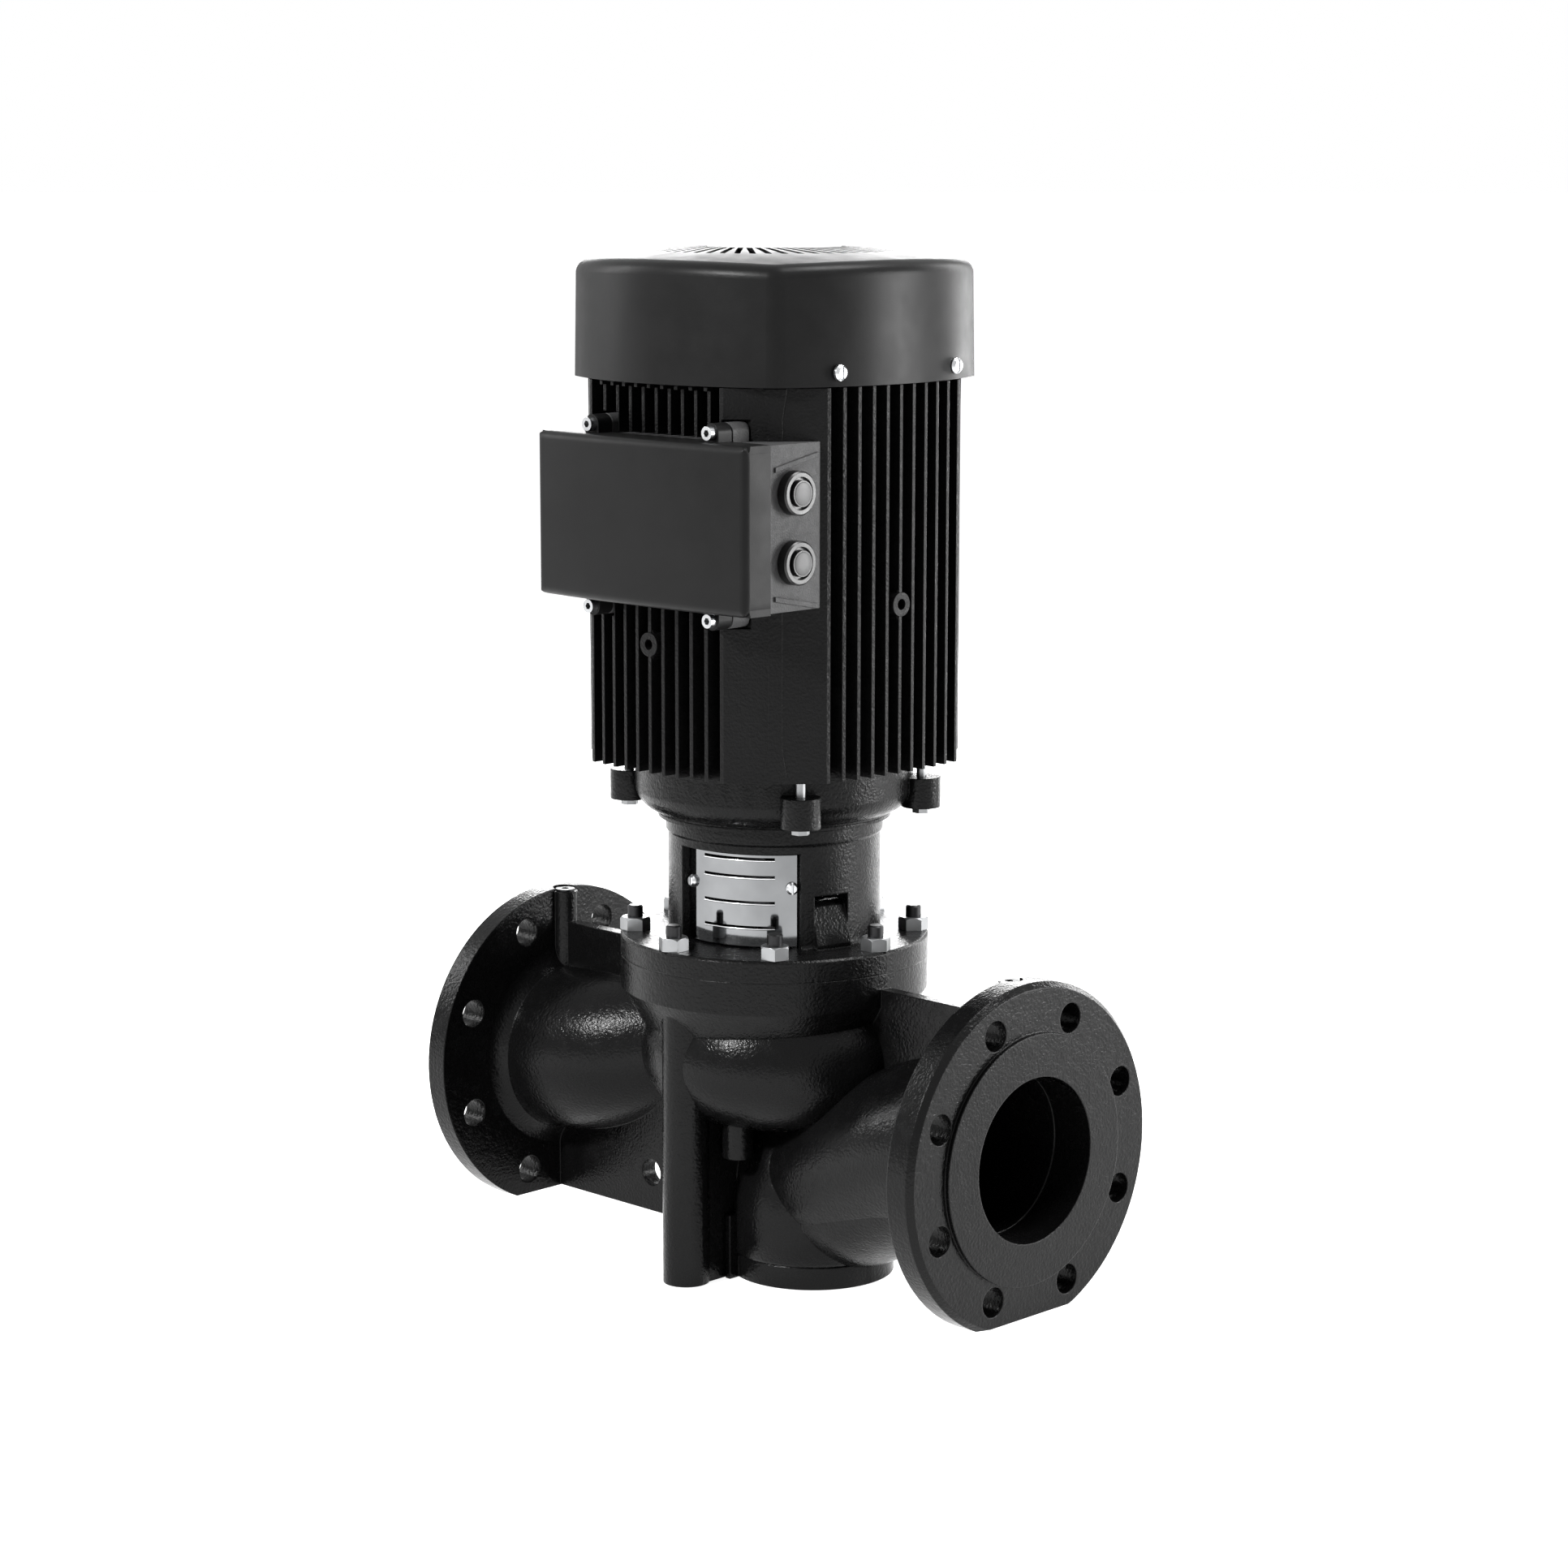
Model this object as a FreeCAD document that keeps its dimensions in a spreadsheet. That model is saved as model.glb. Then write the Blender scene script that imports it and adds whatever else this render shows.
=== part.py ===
import FreeCAD, Part
import Sketcher
import os
import re
from math import copysign, cos, radians, sin, sqrt

# In-line dry rotor circulator pump, DN 100 ports, with a 112-size motor on a stool.
# Lengths are in millimetres. The origin is on the pump axis in the plane of the foot,
# X runs from the discharge port to the suction port, Z points up along the shaft and
# the terminal box looks along -Y.

os.makedirs("parts", exist_ok=True)
doc = FreeCAD.newDocument("circulator_pump")

SIZES = {
    # ports and their flanges
    "port_height": 108, "port_reach": 225, "port_bore": 104, "flange_dia": 220,
    "flange_plate": 19, "raised_face": 3, "raised_dia": 158, "port_circle": 180,
    "port_hole": 19, "discharge_hole": 18.5, "flange_flat": 100, "flange_edge": 3.5, "branch_dia": 120,
    "branch_root": 17, "tapping_dia": 17, "tapping_bore": 10, "tapping_drop": 2.5,
    # casting of the pump housing
    "casting_wall": 8, "rib_thick": 9, "rib_top": 195, "web_thick": 12, "web_low": 8.5,
    "web_hole": 18, "web_hole_reach": 111, "web_hole_height": 35,
    "foot_dia": 106, "foot_offset": 35, "foot_thick": 14, "foot_recess": 8,
    "foot_hole_reach": 80, "foot_hole": 12, "foot_hole_depth": 22, "column_dia": 30,
    "elbow_height": 62, "elbow_dia": 96, "eye_dia": 66,
    "volute_height": 140, "volute_reach_start": 68, "volute_reach_end": 116,
    "volute_tube_start": 30, "volute_tube_end": 40, "chamber_dia": 160,
    "drain_reach": 60, "drain_dia": 20, "drain_low": 82, "drain_bore": 10,
    "head_dia": 199, "head_seat": 205, "head_rim": 21, "bowl_low": 112,
    # fasteners of the pump head
    "stud_circle": 180, "stud_dia": 10, "stud_grip": 16, "stud_rise": 16,
    "nut_across": 17, "nut_thick": 8.4,
    # motor stool
    "plate_thick": 14, "neck_dia": 137, "neck_wall": 11, "ring_dia": 140, "ring_low": 285,
    "stool_top": 298, "top_plate": 9, "window_top": 280.5, "window_half": 36.5,
    "spigot_low": 176, "seal_bore": 46, "drip_width": 25, "drip_height": 34,
    "guard_radius": 62.5, "guard_sheet": 1, "guard_gap": 1.5,
    "slit_wide": 2.2, "tab_height": 258, "guard_screw_dia": 5, "guard_screw_head": 8,
    "pad_fit": 0.05,
    # impeller, shafts and shaft seal
    "impeller_dia": 142, "impeller_outlet": 20, "impeller_shroud": 4, "impeller_neck": 80,
    "impeller_eye": 66, "impeller_bore": 16, "hub_dia": 36, "wear_fit": 0.3, "seal_gap": 0.3,
    "pump_shaft_dia": 22,
    "pump_shaft_top": 262, "coupling_dia": 62, "coupling_low": 234, "coupling_high": 286,
    "coupling_split": 2, "shaft_end_dia": 28, "shaft_end_low": 264, "journal_dia": 30,
    "rotor_seat_dia": 40, "fan_seat_dia": 24, "shaft_top": 648,
    # motor
    "shield_dia": 178.6, "shield_foot_dia": 150, "shield_wall": 8, "lug_reach": 77.5,
    "lug_side": 55, "lug_dia": 25, "lug_low": 302.5, "lug_high": 322, "lug_bolt": 6,
    "frame_low": 334, "frame_high": 580, "core_dia": 182, "stator_dia": 166,
    "stator_bore": 105, "stack_low": 388, "stack_high": 518, "air_gap": 0.5,
    "winding_rise": 30, "fin_pitch": 11.6, "fin_thick": 2.6, "fin_reach": 109.5,
    "side_radius": 311, "corner_radius": 335, "corner_rib": 8.6, "corner_rise": 1.5,
    "rib_flare": 14, "rib_flare_high": 18, "eye_flare": 5, "eye_flare_high": 13,
    "eye_boss_dia": 15, "eye_thread": 6.8, "box_eye_height": 415, "side_eye_height": 440,
    "lower_bearing_low": 306, "lower_bearing_dia": 72, "lower_bearing_wide": 19,
    "upper_bearing_low": 566, "upper_bearing_dia": 62, "upper_bearing_wide": 16,
    "ball_gap": 0.06, "spring_high": 2,
    # fan and fan cover
    "fan_low": 604, "fan_wide": 34, "fan_dia": 168, "cover_low": 576, "cover_high": 658,
    "cover_reach": 114, "cover_side_radius": 178, "cover_corner": 20, "cover_wall": 2.2,
    "cover_fillet": 9, "dome_rise": 7, "grille_dia": 148, "grille_core": 84, "cover_gap": 0.6,
    "slot_wide": 4.2, "cover_screw_height": 584.5, "cover_screw_side": 52,
    "cover_screw_seat": 106.6, "cover_screw_head": 10,
    # terminal box
    "box_left": 77, "box_right": 101, "box_back": 58, "box_seat": 92, "box_front": 107,
    "box_low": 442, "box_high": 544, "box_wall": 4, "box_gasket": 1, "box_gap": 0.5,
    "lid_edge": 3, "lid_front": 130,
    "lid_bulge": 4, "lid_round": 5, "lid_wall": 3, "lid_screw_side": 53,
    "lid_screw_shift": 12.5, "lid_screw_rise": 5.5, "entry_dia": 27, "entry_spacing": 42,
    "entry_depth": 86, "entry_bore": 16,
}

PORT_HOLES = 8
STUDS = 8
VOLUTE_STEPS = 8
VANES = 6
BALLS = 8
FIN_ROWS = 4
FAN_BLADES = 9
GRILLE_SLOTS = 48
WINDOW_TURNS = (-67.5, 112.5)
DRIP_TURN = -13
DRAIN_TURN = -68
GUARD_HALF = 32.5
SLIT_HALF = 22.6
GUARD_SLITS = (3, 14.5, 31, 47)
MOTOR_SCREW_TURNS = (22.5, 112.5, 202.5, 292.5)
COVER_DRAFT = 1.0
ENTRY_MIDDLE = "(box_low + box_high) / 2"
TONGUE_ANGLE = 120
THROAT_ANGLE = 450

sheet = doc.addObject("Spreadsheet::Sheet", "sizes")
for row, (alias, number) in enumerate(SIZES.items(), start=1):
    sheet.set(f"A{row}", alias)
    sheet.set(f"B{row}", str(number))
    sheet.setAlias(f"B{row}", alias)
doc.recompute()


def linked(formula):
    """Point the plain names in a formula at the cells of the spreadsheet."""
    def cell(match):
        word = match.group()
        return f"sizes.{word}" if word in SIZES else word
    return re.sub(r"[a-z][a-z_]+", cell, str(formula))


def value(formula):
    """Work a formula out with the numbers now in the spreadsheet."""
    return float(sheet.evalExpression(linked(formula)))


def bind(item, **formulas):
    for name, formula in formulas.items():
        item.setExpression(name, linked(formula))
    return item


def place(item, at, rotation=FreeCAD.Rotation()):
    """Turn an item, and bind its base point to three formulas."""
    base = FreeCAD.Vector(*[value(formula) for formula in at])
    item.Placement = FreeCAD.Placement(base, rotation)
    for axis, formula in zip("xyz", at):
        item.setExpression(f"Placement.Base.{axis}", linked(formula))
    return item


def around(reach, side, height, turn):
    """The formulas of a point that is turned about the pump axis by some degrees."""
    return (f"({reach}) * cos({turn}) - ({side}) * sin({turn})",
            f"({reach}) * sin({turn}) + ({side}) * cos({turn})",
            height)


DIRECTIONS = {
    "X": FreeCAD.Rotation(FreeCAD.Vector(0, 1, 0), 90),
    "Y": FreeCAD.Rotation(FreeCAD.Vector(1, 0, 0), -90),
    "Z": FreeCAD.Rotation(),
    "-X": FreeCAD.Rotation(FreeCAD.Vector(0, 1, 0), -90),
    "-Y": FreeCAD.Rotation(FreeCAD.Vector(1, 0, 0), 90),
    "-Z": FreeCAD.Rotation(FreeCAD.Vector(1, 0, 0), 180),
}


def about_axis(turn):
    return FreeCAD.Rotation(FreeCAD.Vector(0, 0, 1), turn)


def cylinder(name, radius, length, at=(0, 0, 0), along="Z", turn=0):
    item = bind(doc.addObject("Part::Cylinder", name), Radius=radius, Height=length)
    return place(item, around(*at, turn), about_axis(turn) * DIRECTIONS[along])


def ball(name, radius, at, turn=0):
    item = bind(doc.addObject("Part::Sphere", name), Radius=radius)
    return place(item, around(*at, turn), about_axis(turn))


def hexagon(name, across, length, at, along="Z", turn=0):
    """A prism with a given width across its flats."""
    item = doc.addObject("Part::Prism", name)
    item.Polygon = 6
    bind(item, Circumradius=f"({across}) / 2 / cos(30)", Height=length)
    return place(item, around(*at, turn), about_axis(turn) * DIRECTIONS[along])


def block(name, across, depth, height, turn=0):
    """A box from three pairs of formulas, turned about the pump axis."""
    item = doc.addObject("Part::Box", name)
    bind(item, Length=f"({across[1]}) - ({across[0]})", Width=f"({depth[1]}) - ({depth[0]})",
         Height=f"({height[1]}) - ({height[0]})")
    return place(item, around(across[0], depth[0], height[0], turn), about_axis(turn))


def join(name, *items):
    union = doc.addObject("Part::MultiFuse", name)
    union.Shapes = list(items)
    return union


def chain(kind, name, base, tools):
    """Apply one boolean after the other, so that each result is a simple one."""
    for number, tool in enumerate(tools, start=1):
        result = doc.addObject(kind, name if number == len(tools) else f"{name}_step")
        result.Base = base
        result.Tool = tool
        result.Refine = False
        base = result
    return base


def cut(name, base, *tools):
    return chain("Part::Cut", name, base, tools)


def merge(name, base, *items):
    return chain("Part::Fuse", name, base, items)


def overlap(name, *items):
    shared = doc.addObject("Part::MultiCommon", name)
    shared.Shapes = list(items)
    return shared


def group(name, items):
    """One node that holds several separate solids."""
    compound = doc.addObject("Part::Compound", name)
    compound.Links = list(items)
    return compound


def copy_of(source, name, at, rotation):
    """A linked copy of a piece that was drawn about the origin."""
    link = doc.addObject("App::Link", name)
    link.LinkedObject = source
    return place(link, at, rotation)


def origin_feature(body, role):
    return [feature for feature in body.Origin.OriginFeatures if feature.Role == role][0]


def outline(body, name, plane, corners):
    """A closed sketch through corners given as formulas (x, y) or (x, y, radius).

    A third entry makes an arc of the side that follows the corner. A positive radius
    bulges to the right of the way of travel and a negative one to the left.
    """
    sketch = body.newObject("Sketcher::SketchObject", name)
    sketch.AttachmentSupport = [(origin_feature(body, plane), "")]
    sketch.MapMode = "FlatFace"
    points = [FreeCAD.Vector(value(corner[0]), value(corner[1]), 0) for corner in corners]
    sides = []
    for index, corner in enumerate(corners):
        here = points[index]
        there = points[(index + 1) % len(points)]
        forward = True
        if len(corner) > 2:
            radius = value(corner[2])
            chord = there - here
            rise = abs(radius) - sqrt(radius ** 2 - (chord.Length / 2) ** 2)
            right = FreeCAD.Vector(chord.y, -chord.x, 0).normalize()
            middle = (here + there) * 0.5 + right * copysign(rise, radius)
            forward = radius > 0
            arc = Part.Arc(here, middle, there) if forward else Part.Arc(there, middle, here)
            side = sketch.addGeometry(arc, False)
            rule = sketch.addConstraint(Sketcher.Constraint("Radius", side, abs(radius)))
            sketch.setExpression(f"Constraints[{rule}]", linked(f"abs({corner[2]})"))
        else:
            side = sketch.addGeometry(Part.LineSegment(here, there), False)
        sides.append((side, 1 if forward else 2, 2 if forward else 1))
    for index, (side, start, end) in enumerate(sides):
        following = sides[(index + 1) % len(sides)]
        sketch.addConstraint(Sketcher.Constraint("Coincident", side, end, following[0], following[1]))
        for kind, number, formula in (("DistanceX", points[index].x, corners[index][0]),
                                      ("DistanceY", points[index].y, corners[index][1])):
            rule = sketch.addConstraint(Sketcher.Constraint(kind, side, start, number))
            sketch.setExpression(f"Constraints[{rule}]", linked(formula))
    return sketch


def turned(name, corners, axis="V_Axis", at=(0, 0, 0)):
    """A body turned about the pump axis, or about the X axis with axis H_Axis."""
    body = doc.addObject("PartDesign::Body", name)
    profile = outline(body, name + "_profile", "XZ_Plane", corners)
    revolution = body.newObject("PartDesign::Revolution", name + "_revolution")
    revolution.Profile = profile
    revolution.ReferenceAxis = (profile, [axis])
    revolution.Angle = 360
    body.Tip = revolution
    profile.Visibility = False
    return place(body, at)


def raised(name, plane, corners, length, at=(0, 0, 0), taper=0):
    """A body padded from an outline, up along the normal of its plane."""
    body = doc.addObject("PartDesign::Body", name)
    pad = body.newObject("PartDesign::Pad", name + "_pad")
    pad.Profile = outline(body, name + "_outline", plane, corners)
    pad.TaperAngle = taper
    pad.setExpression("Length", linked(length))
    body.Tip = pad
    return place(body, at)


def ring(name, inner, outer, low, high):
    return turned(name, [(inner, low), (outer, low), (outer, high), (inner, high)])


def tube(name, stations, first=0, last=None):
    """A loft through circles (x, y, z, radius) that stand square to the way through them.

    A run from the station first to the station last can be lofted alone.
    """
    centres = [FreeCAD.Vector(*[value(formula) for formula in station[:3]]) for station in stations]
    last = len(stations) - 1 if last is None else last
    circles = []
    for index in range(first, last + 1):
        before = centres[max(index - 1, 0)]
        after = centres[min(index + 1, len(centres) - 1)]
        rotation = FreeCAD.Rotation(FreeCAD.Vector(0, 0, 1), FreeCAD.Vector(), after - before, "ZXY")
        circle = bind(doc.addObject("Part::Circle", f"{name}_circle"), Radius=stations[index][3])
        circles.append(place(circle, stations[index][:3], rotation))
    loft = doc.addObject("Part::Loft", name)
    loft.Sections = circles
    loft.Solid = True
    return loft


# Pump housing

def volute_station(turn, inset):
    """A circle of the spiral, at a share of the turn from the tongue to the throat."""
    angle = TONGUE_ANGLE + (THROAT_ANGLE - TONGUE_ANGLE) * turn
    radius = f"volute_tube_start + (volute_tube_end - volute_tube_start) * {turn}"
    reach = f"volute_reach_start * (volute_reach_end / volute_reach_start) ^ {turn} - ({radius})"
    x, y, z = around(reach, 0, "volute_height", angle)
    return (x, y, z, f"{radius} - ({inset})")


def spiral(name, inset):
    """The volute in two halves, the second one running on into the discharge branch."""
    stations = [volute_station(step / VOLUTE_STEPS, inset) for step in range(VOLUTE_STEPS + 1)]
    throat = "(volute_reach_end - volute_tube_end)"
    drop = "(volute_height - port_height)"
    branch = [(0.22, 0.94, 0.92, 0.15), (0.42, 0.66, 0.70, 0.40), (0.62, 0.30, 0.36, 0.70),
              (0.82, 0.05, 0.08, 0.92)]
    for way, aside, height, growth in branch:
        radius = f"volute_tube_end + (branch_dia / 2 - 3 - volute_tube_end) * {growth} - ({inset})"
        stations.append((f"-(port_reach - flange_plate) * {way}", f"{throat} * {aside}",
                         f"port_height + {drop} * {height}", radius))
    stations.append(("-(port_reach - flange_plate / 2)", 0, "port_height",
                     f"branch_dia / 2 - 3 - ({inset})"))
    half = VOLUTE_STEPS // 2
    return [tube(f"{name}_start", stations, 0, half), tube(f"{name}_end", stations, half)]


def suction(name, inset):
    """The suction branch, which dips below the volute and ends in a ball under the eye."""
    radius = f"branch_dia / 2 - ({inset})"
    end = f"elbow_dia / 2 - ({inset})"
    drop = "(port_height - elbow_height)"
    span = "(port_reach - flange_plate / 2 - foot_offset + 10)"
    stations = [("port_reach - flange_plate / 2", 0, "port_height", radius)]
    for way, fall in ((0.18, 0.02), (0.40, 0.20), (0.62, 0.55), (0.82, 0.88)):
        stations.append((f"port_reach - flange_plate / 2 - {span} * {way}", 0,
                         f"port_height - {drop} * {fall}",
                         f"{radius} + ({end} - ({radius})) * {way ** 1.5:.3f}"))
    stations.append(("foot_offset - 10", 0, "elbow_height", f"{end} - 6"))
    return [tube(f"{name}_branch", stations),
            ball(f"{name}_ball", end, ("foot_offset - 10", 0, "elbow_height"))]


def port_flange(name, side):
    """A flange with a raised face, turned about the axis of the ports."""
    face = f"{side} * port_reach"
    seat = f"{side} * (port_reach - raised_face)"
    chamfer = f"{side} * (port_reach - raised_face - flange_edge)"
    back = f"{side} * (port_reach - raised_face - flange_plate)"
    root = f"{side} * (port_reach - raised_face - flange_plate - branch_root)"
    corners = [(root, 0), (face, 0), (face, "raised_dia / 2"), (seat, "raised_dia / 2"),
               (seat, "flange_dia / 2 - flange_edge"), (chamfer, "flange_dia / 2"),
               (back, "flange_dia / 2"), (back, "branch_dia / 2 + 9", f"{side} * -24"),
               (root, "branch_dia / 2 - 9")]
    disc = turned(name, corners, "H_Axis", (0, 0, "port_height"))
    flat = block(f"{name}_flat",
                 (f"{side} * port_reach - flange_plate * 2", f"{side} * port_reach + flange_plate * 2"),
                 ("-flange_dia", "flange_dia"), ("port_height - flange_dia", "port_height - flange_flat"))
    size = "port_hole" if side > 0 else "discharge_hole"
    holes = []
    for index in range(PORT_HOLES):
        turn = 360 / PORT_HOLES * (index + 0.5)
        holes.append(cylinder(f"{name}_hole", f"{size} / 2", "flange_plate * 4",
                              (f"{side} * port_reach - flange_plate * 2",
                               f"port_circle / 2 * cos({turn})",
                               f"port_height + port_circle / 2 * sin({turn})"), "X"))
    return cut(f"{name}_drilled", disc, flat, group(f"{name}_holes", holes))


def tapping(name, side):
    """The upright boss behind a flange that takes a gauge plug."""
    reach = f"{side} * (port_reach - raised_face - flange_plate - 1)"
    top = "port_height + flange_dia / 2 - tapping_drop"
    boss = cylinder(f"{name}_boss", "tapping_dia / 2",
                    "flange_dia / 2 - tapping_drop - branch_dia / 2 + 10",
                    (reach, 0, "port_height + branch_dia / 2 - 10"))
    bore = cylinder(f"{name}_bore", "tapping_bore / 2", 21, (reach, 0, f"{top} - 20"))
    spot_face = cylinder(f"{name}_spot_face", "tapping_dia / 2", 20, (reach, 0, top))
    return boss, join(f"{name}_drilling", bore, spot_face)


def pump_housing():
    walls = spiral("volute", 0) + suction("suction", 0)
    walls.append(turned("bowl", [(0, "bowl_low"), ("chamber_dia / 2 - 26", "bowl_low", 26),
                                 ("chamber_dia / 2", "bowl_low + 26"), ("chamber_dia / 2", "head_seat - 53"),
                                 ("chamber_dia / 2 + 7", "head_seat - 42"),
                                 ("head_dia / 2", "head_seat - head_rim"), ("head_dia / 2", "head_seat"),
                                 (0, "head_seat")]))
    walls.append(cylinder("riser", "eye_dia / 2 + casting_wall", "bowl_low - elbow_height + 16",
                          (0, 0, "elbow_height - 4")))
    walls.append(turned("foot", [(0, 0), ("foot_dia / 2", 0), ("foot_dia / 2", "foot_thick"),
                                 ("elbow_dia / 2 - 6", "foot_thick * 2"), (0, "foot_thick * 2")],
                        at=("foot_offset", 0, 0)))
    walls.append(block("foot_web", ("-web_thick", "web_thick"), ("-foot_hole_reach", "foot_hole_reach"),
                       (0, "bowl_low + 10")))
    walls.append(block("saddle", ("eye_dia / 2 - 10", "eye_dia / 2 + 38"),
                       ("eye_dia / 2 - 11", "eye_dia / 2 + 13"), ("bowl_low - 32", "bowl_low")))
    for side in (-1, 1):
        walls.append(cylinder("column", "column_dia / 2", "head_seat - head_rim + 2",
                              (0, f"{side} * foot_hole_reach", 0)))
        walls.append(block("parting_rib", ("foot_offset / 2 - 4", "foot_offset / 2"),
                           (f"{side} * 29 - 29", f"{side} * 29 + 29"), (0, "foot_thick * 3")))
        walls.append(port_flange("suction_flange" if side > 0 else "discharge_flange", side))
        ends = ("head_dia / 2 - 20", "port_reach - flange_plate")
        span = ends if side > 0 else tuple(f"-({end})" for end in reversed(ends))
        walls.append(block("rib", span, ("-rib_thick / 2", "rib_thick / 2"), ("port_height", "rib_top")))
    walls.append(block("web", ("-(port_reach - flange_plate)", 0), ("-web_thick / 2", "web_thick / 2"),
                       ("web_low", "port_height")))
    walls.append(cylinder("drain_boss", "drain_dia / 2", "volute_height - drain_low",
                          ("drain_reach", 0, "drain_low"), turn=DRAIN_TURN))
    right_boss, right_bore = tapping("suction_tapping", 1)
    left_boss, left_bore = tapping("discharge_tapping", -1)
    hollows = spiral("volute_core", "casting_wall") + suction("suction_core", "casting_wall")
    hollows.append(cylinder("chamber", "chamber_dia / 2 - casting_wall", "head_seat", (0, 0, "bowl_low + 8")))
    hollows.append(cylinder("eye", "eye_dia / 2", "bowl_low - elbow_height", (0, 0, "elbow_height + 8")))
    hollows.append(cylinder("wear_seat", "impeller_neck / 2 + 5", 12, (0, 0, "bowl_low + 4")))
    hollows.append(cylinder("foot_recess", "foot_dia / 2 - casting_wall", "foot_recess * 2",
                            ("foot_offset", 0, "-foot_recess")))
    hollows.append(cylinder("web_hole_bore", "web_hole / 2", "web_thick * 2",
                            ("-web_hole_reach", "-web_thick", "web_hole_height"), "Y"))
    hollows.append(cylinder("drain_bore_cut", "drain_bore / 2", "volute_height - drain_low",
                            ("drain_reach", 0, "drain_low - 1"), turn=DRAIN_TURN))
    for side in (-1, 1):
        hollows.append(cylinder("port_bore_cut", "port_bore / 2", "flange_plate + 20",
                                (f"{side} * (port_reach - flange_plate - 10)", 0, "port_height"),
                                "X" if side > 0 else "-X"))
        hollows.append(cylinder("foot_thread", "foot_hole / 2", "foot_hole_depth * 2",
                                (0, f"{side} * foot_hole_reach", "-foot_hole_depth")))
    hollows.append(group("stud_threads", [
        cylinder("stud_thread", "stud_dia / 2", "stud_grip + 4",
                 ("stud_circle / 2", 0, "head_seat - stud_grip"), turn=360 / STUDS * index)
        for index in range(STUDS)]))
    solid = merge("housing_walls", *walls, right_boss, left_boss)
    return cut("pump_housing", solid, right_bore, left_bore, *hollows)


NODES = []


def add(item):
    item.Label = item.Name
    NODES.append(item)


def fanned(name, corners, length, count, at):
    """A raised outline repeated evenly about the pump axis."""
    body = raised(name, "XY_Plane", corners, length, at)
    body.AllowCompound = True
    pattern = body.newObject("PartDesign::PolarPattern", name + "_pattern")
    pattern.Originals = [body.Tip]
    pattern.Axis = (origin_feature(body, "Z_Axis"), [""])
    pattern.Angle = 360
    pattern.Occurrences = count
    body.Tip = pattern
    return body


# Screws, nuts and plugs, each drawn standing on the origin with its shank running down

def spread(name, source, places):
    """Linked copies of one piece, kept together in one node."""
    return group(name, [copy_of(source, f"{name}_copy", at, rotation) for at, rotation in places])


def on_circle(count, radius, height, first=0, along="Z"):
    turns = [360 / count * index + first for index in range(count)]
    return [(around(radius, 0, height, turn), about_axis(turn) * DIRECTIONS[along]) for turn in turns]


def hex_nut(name, across, bore, thick):
    corner = f"({across}) / 2 / cos(30)"
    form = turned(f"{name}_form", [(0, 0), (corner, 0), (corner, f"({thick}) - ({across}) / 12"),
                                   (f"({across}) / 2", thick), (0, thick)])
    shaped = overlap(f"{name}_shape", hexagon(f"{name}_prism", across, thick, (0, 0, 0)), form)
    thread = cylinder(f"{name}_thread", f"({bore}) / 2", f"({thick}) * 3", (0, 0, f"-({thick})"))
    return cut(name, shaped, thread)


def hex_screw(name, size, across, head, length):
    shank = cylinder(f"{name}_shank", f"({size}) / 2", length, (0, 0, f"-({length})"))
    return join(name, hexagon(f"{name}_head", across, head, (0, 0, 0)), shank)


def slotted_screw(name, size, head_dia, head, length):
    form = turned(f"{name}_form", [
        (0, f"-({length})"), (f"({size}) / 2", f"-({length})"), (f"({size}) / 2", 0),
        (f"({head_dia}) / 2", 0), (f"({head_dia}) / 2", f"({head}) * 0.45"),
        (f"({head_dia}) * 0.33", head), (0, head)])
    slot = block(f"{name}_slot", (f"-({head_dia})", head_dia), (-0.6, 0.6),
                 (f"({head}) * 0.4", f"({head}) * 2"))
    return cut(name, form, slot)


def socket_plug(name, size, length, head_dia, head, socket):
    form = turned(f"{name}_form", [
        (0, f"-({length})"), (f"({size}) / 2", f"-({length})"), (f"({size}) / 2", 0),
        (f"({head_dia}) / 2", 0), (f"({head_dia}) / 2", head), (0, head)])
    return cut(name, form, hexagon(f"{name}_socket", socket, f"({length}) + ({head})",
                                   (0, 0, f"-({length}) / 2")))


def housing_fittings():
    drain = socket_plug("drain_screw", "drain_bore", 12, "drain_bore - 1", 0.5, 5)
    add(spread("drain_plug", drain, [(around("drain_reach", 0, "drain_low + 2", DRAIN_TURN),
                                      DIRECTIONS["-Z"])]))
    gauge = socket_plug("gauge_screw", "tapping_bore", 10, "tapping_bore + 3", 1.5, 5)
    reach = "(port_reach - raised_face - flange_plate - 1)"
    top = "port_height + flange_dia / 2 - tapping_drop"
    add(spread("gauge_plugs", gauge, [((f"{side} * {reach}", 0, top), DIRECTIONS["Z"])
                                      for side in (-1, 1)]))
    add(ring("wear_ring", "impeller_neck / 2 + wear_fit", "impeller_neck / 2 + 5",
             "bowl_low + 4", "bowl_low + 13"))
    add(ring("head_gasket", "chamber_dia / 2 - casting_wall - 3", "chamber_dia / 2 - casting_wall",
             "head_seat - 9.5", "head_seat - 7.5"))


def head_fasteners():
    low = "head_seat - stud_grip"
    high = "head_seat + plate_thick + stud_rise"
    stud = turned("head_stud", [(0, low), ("stud_dia / 2 - 1", low), ("stud_dia / 2", f"{low} + 1"),
                                ("stud_dia / 2", f"{high} - 1"), ("stud_dia / 2 - 1", high), (0, high)])
    add(spread("head_studs", stud, on_circle(STUDS, "stud_circle / 2", 0)))
    nut = hex_nut("head_nut", "nut_across", "stud_dia", "nut_thick")
    add(spread("head_nuts", nut, on_circle(STUDS, "stud_circle / 2", "head_seat + plate_thick")))


# Motor stool with the cover of the pump, and the guards in its windows

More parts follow.
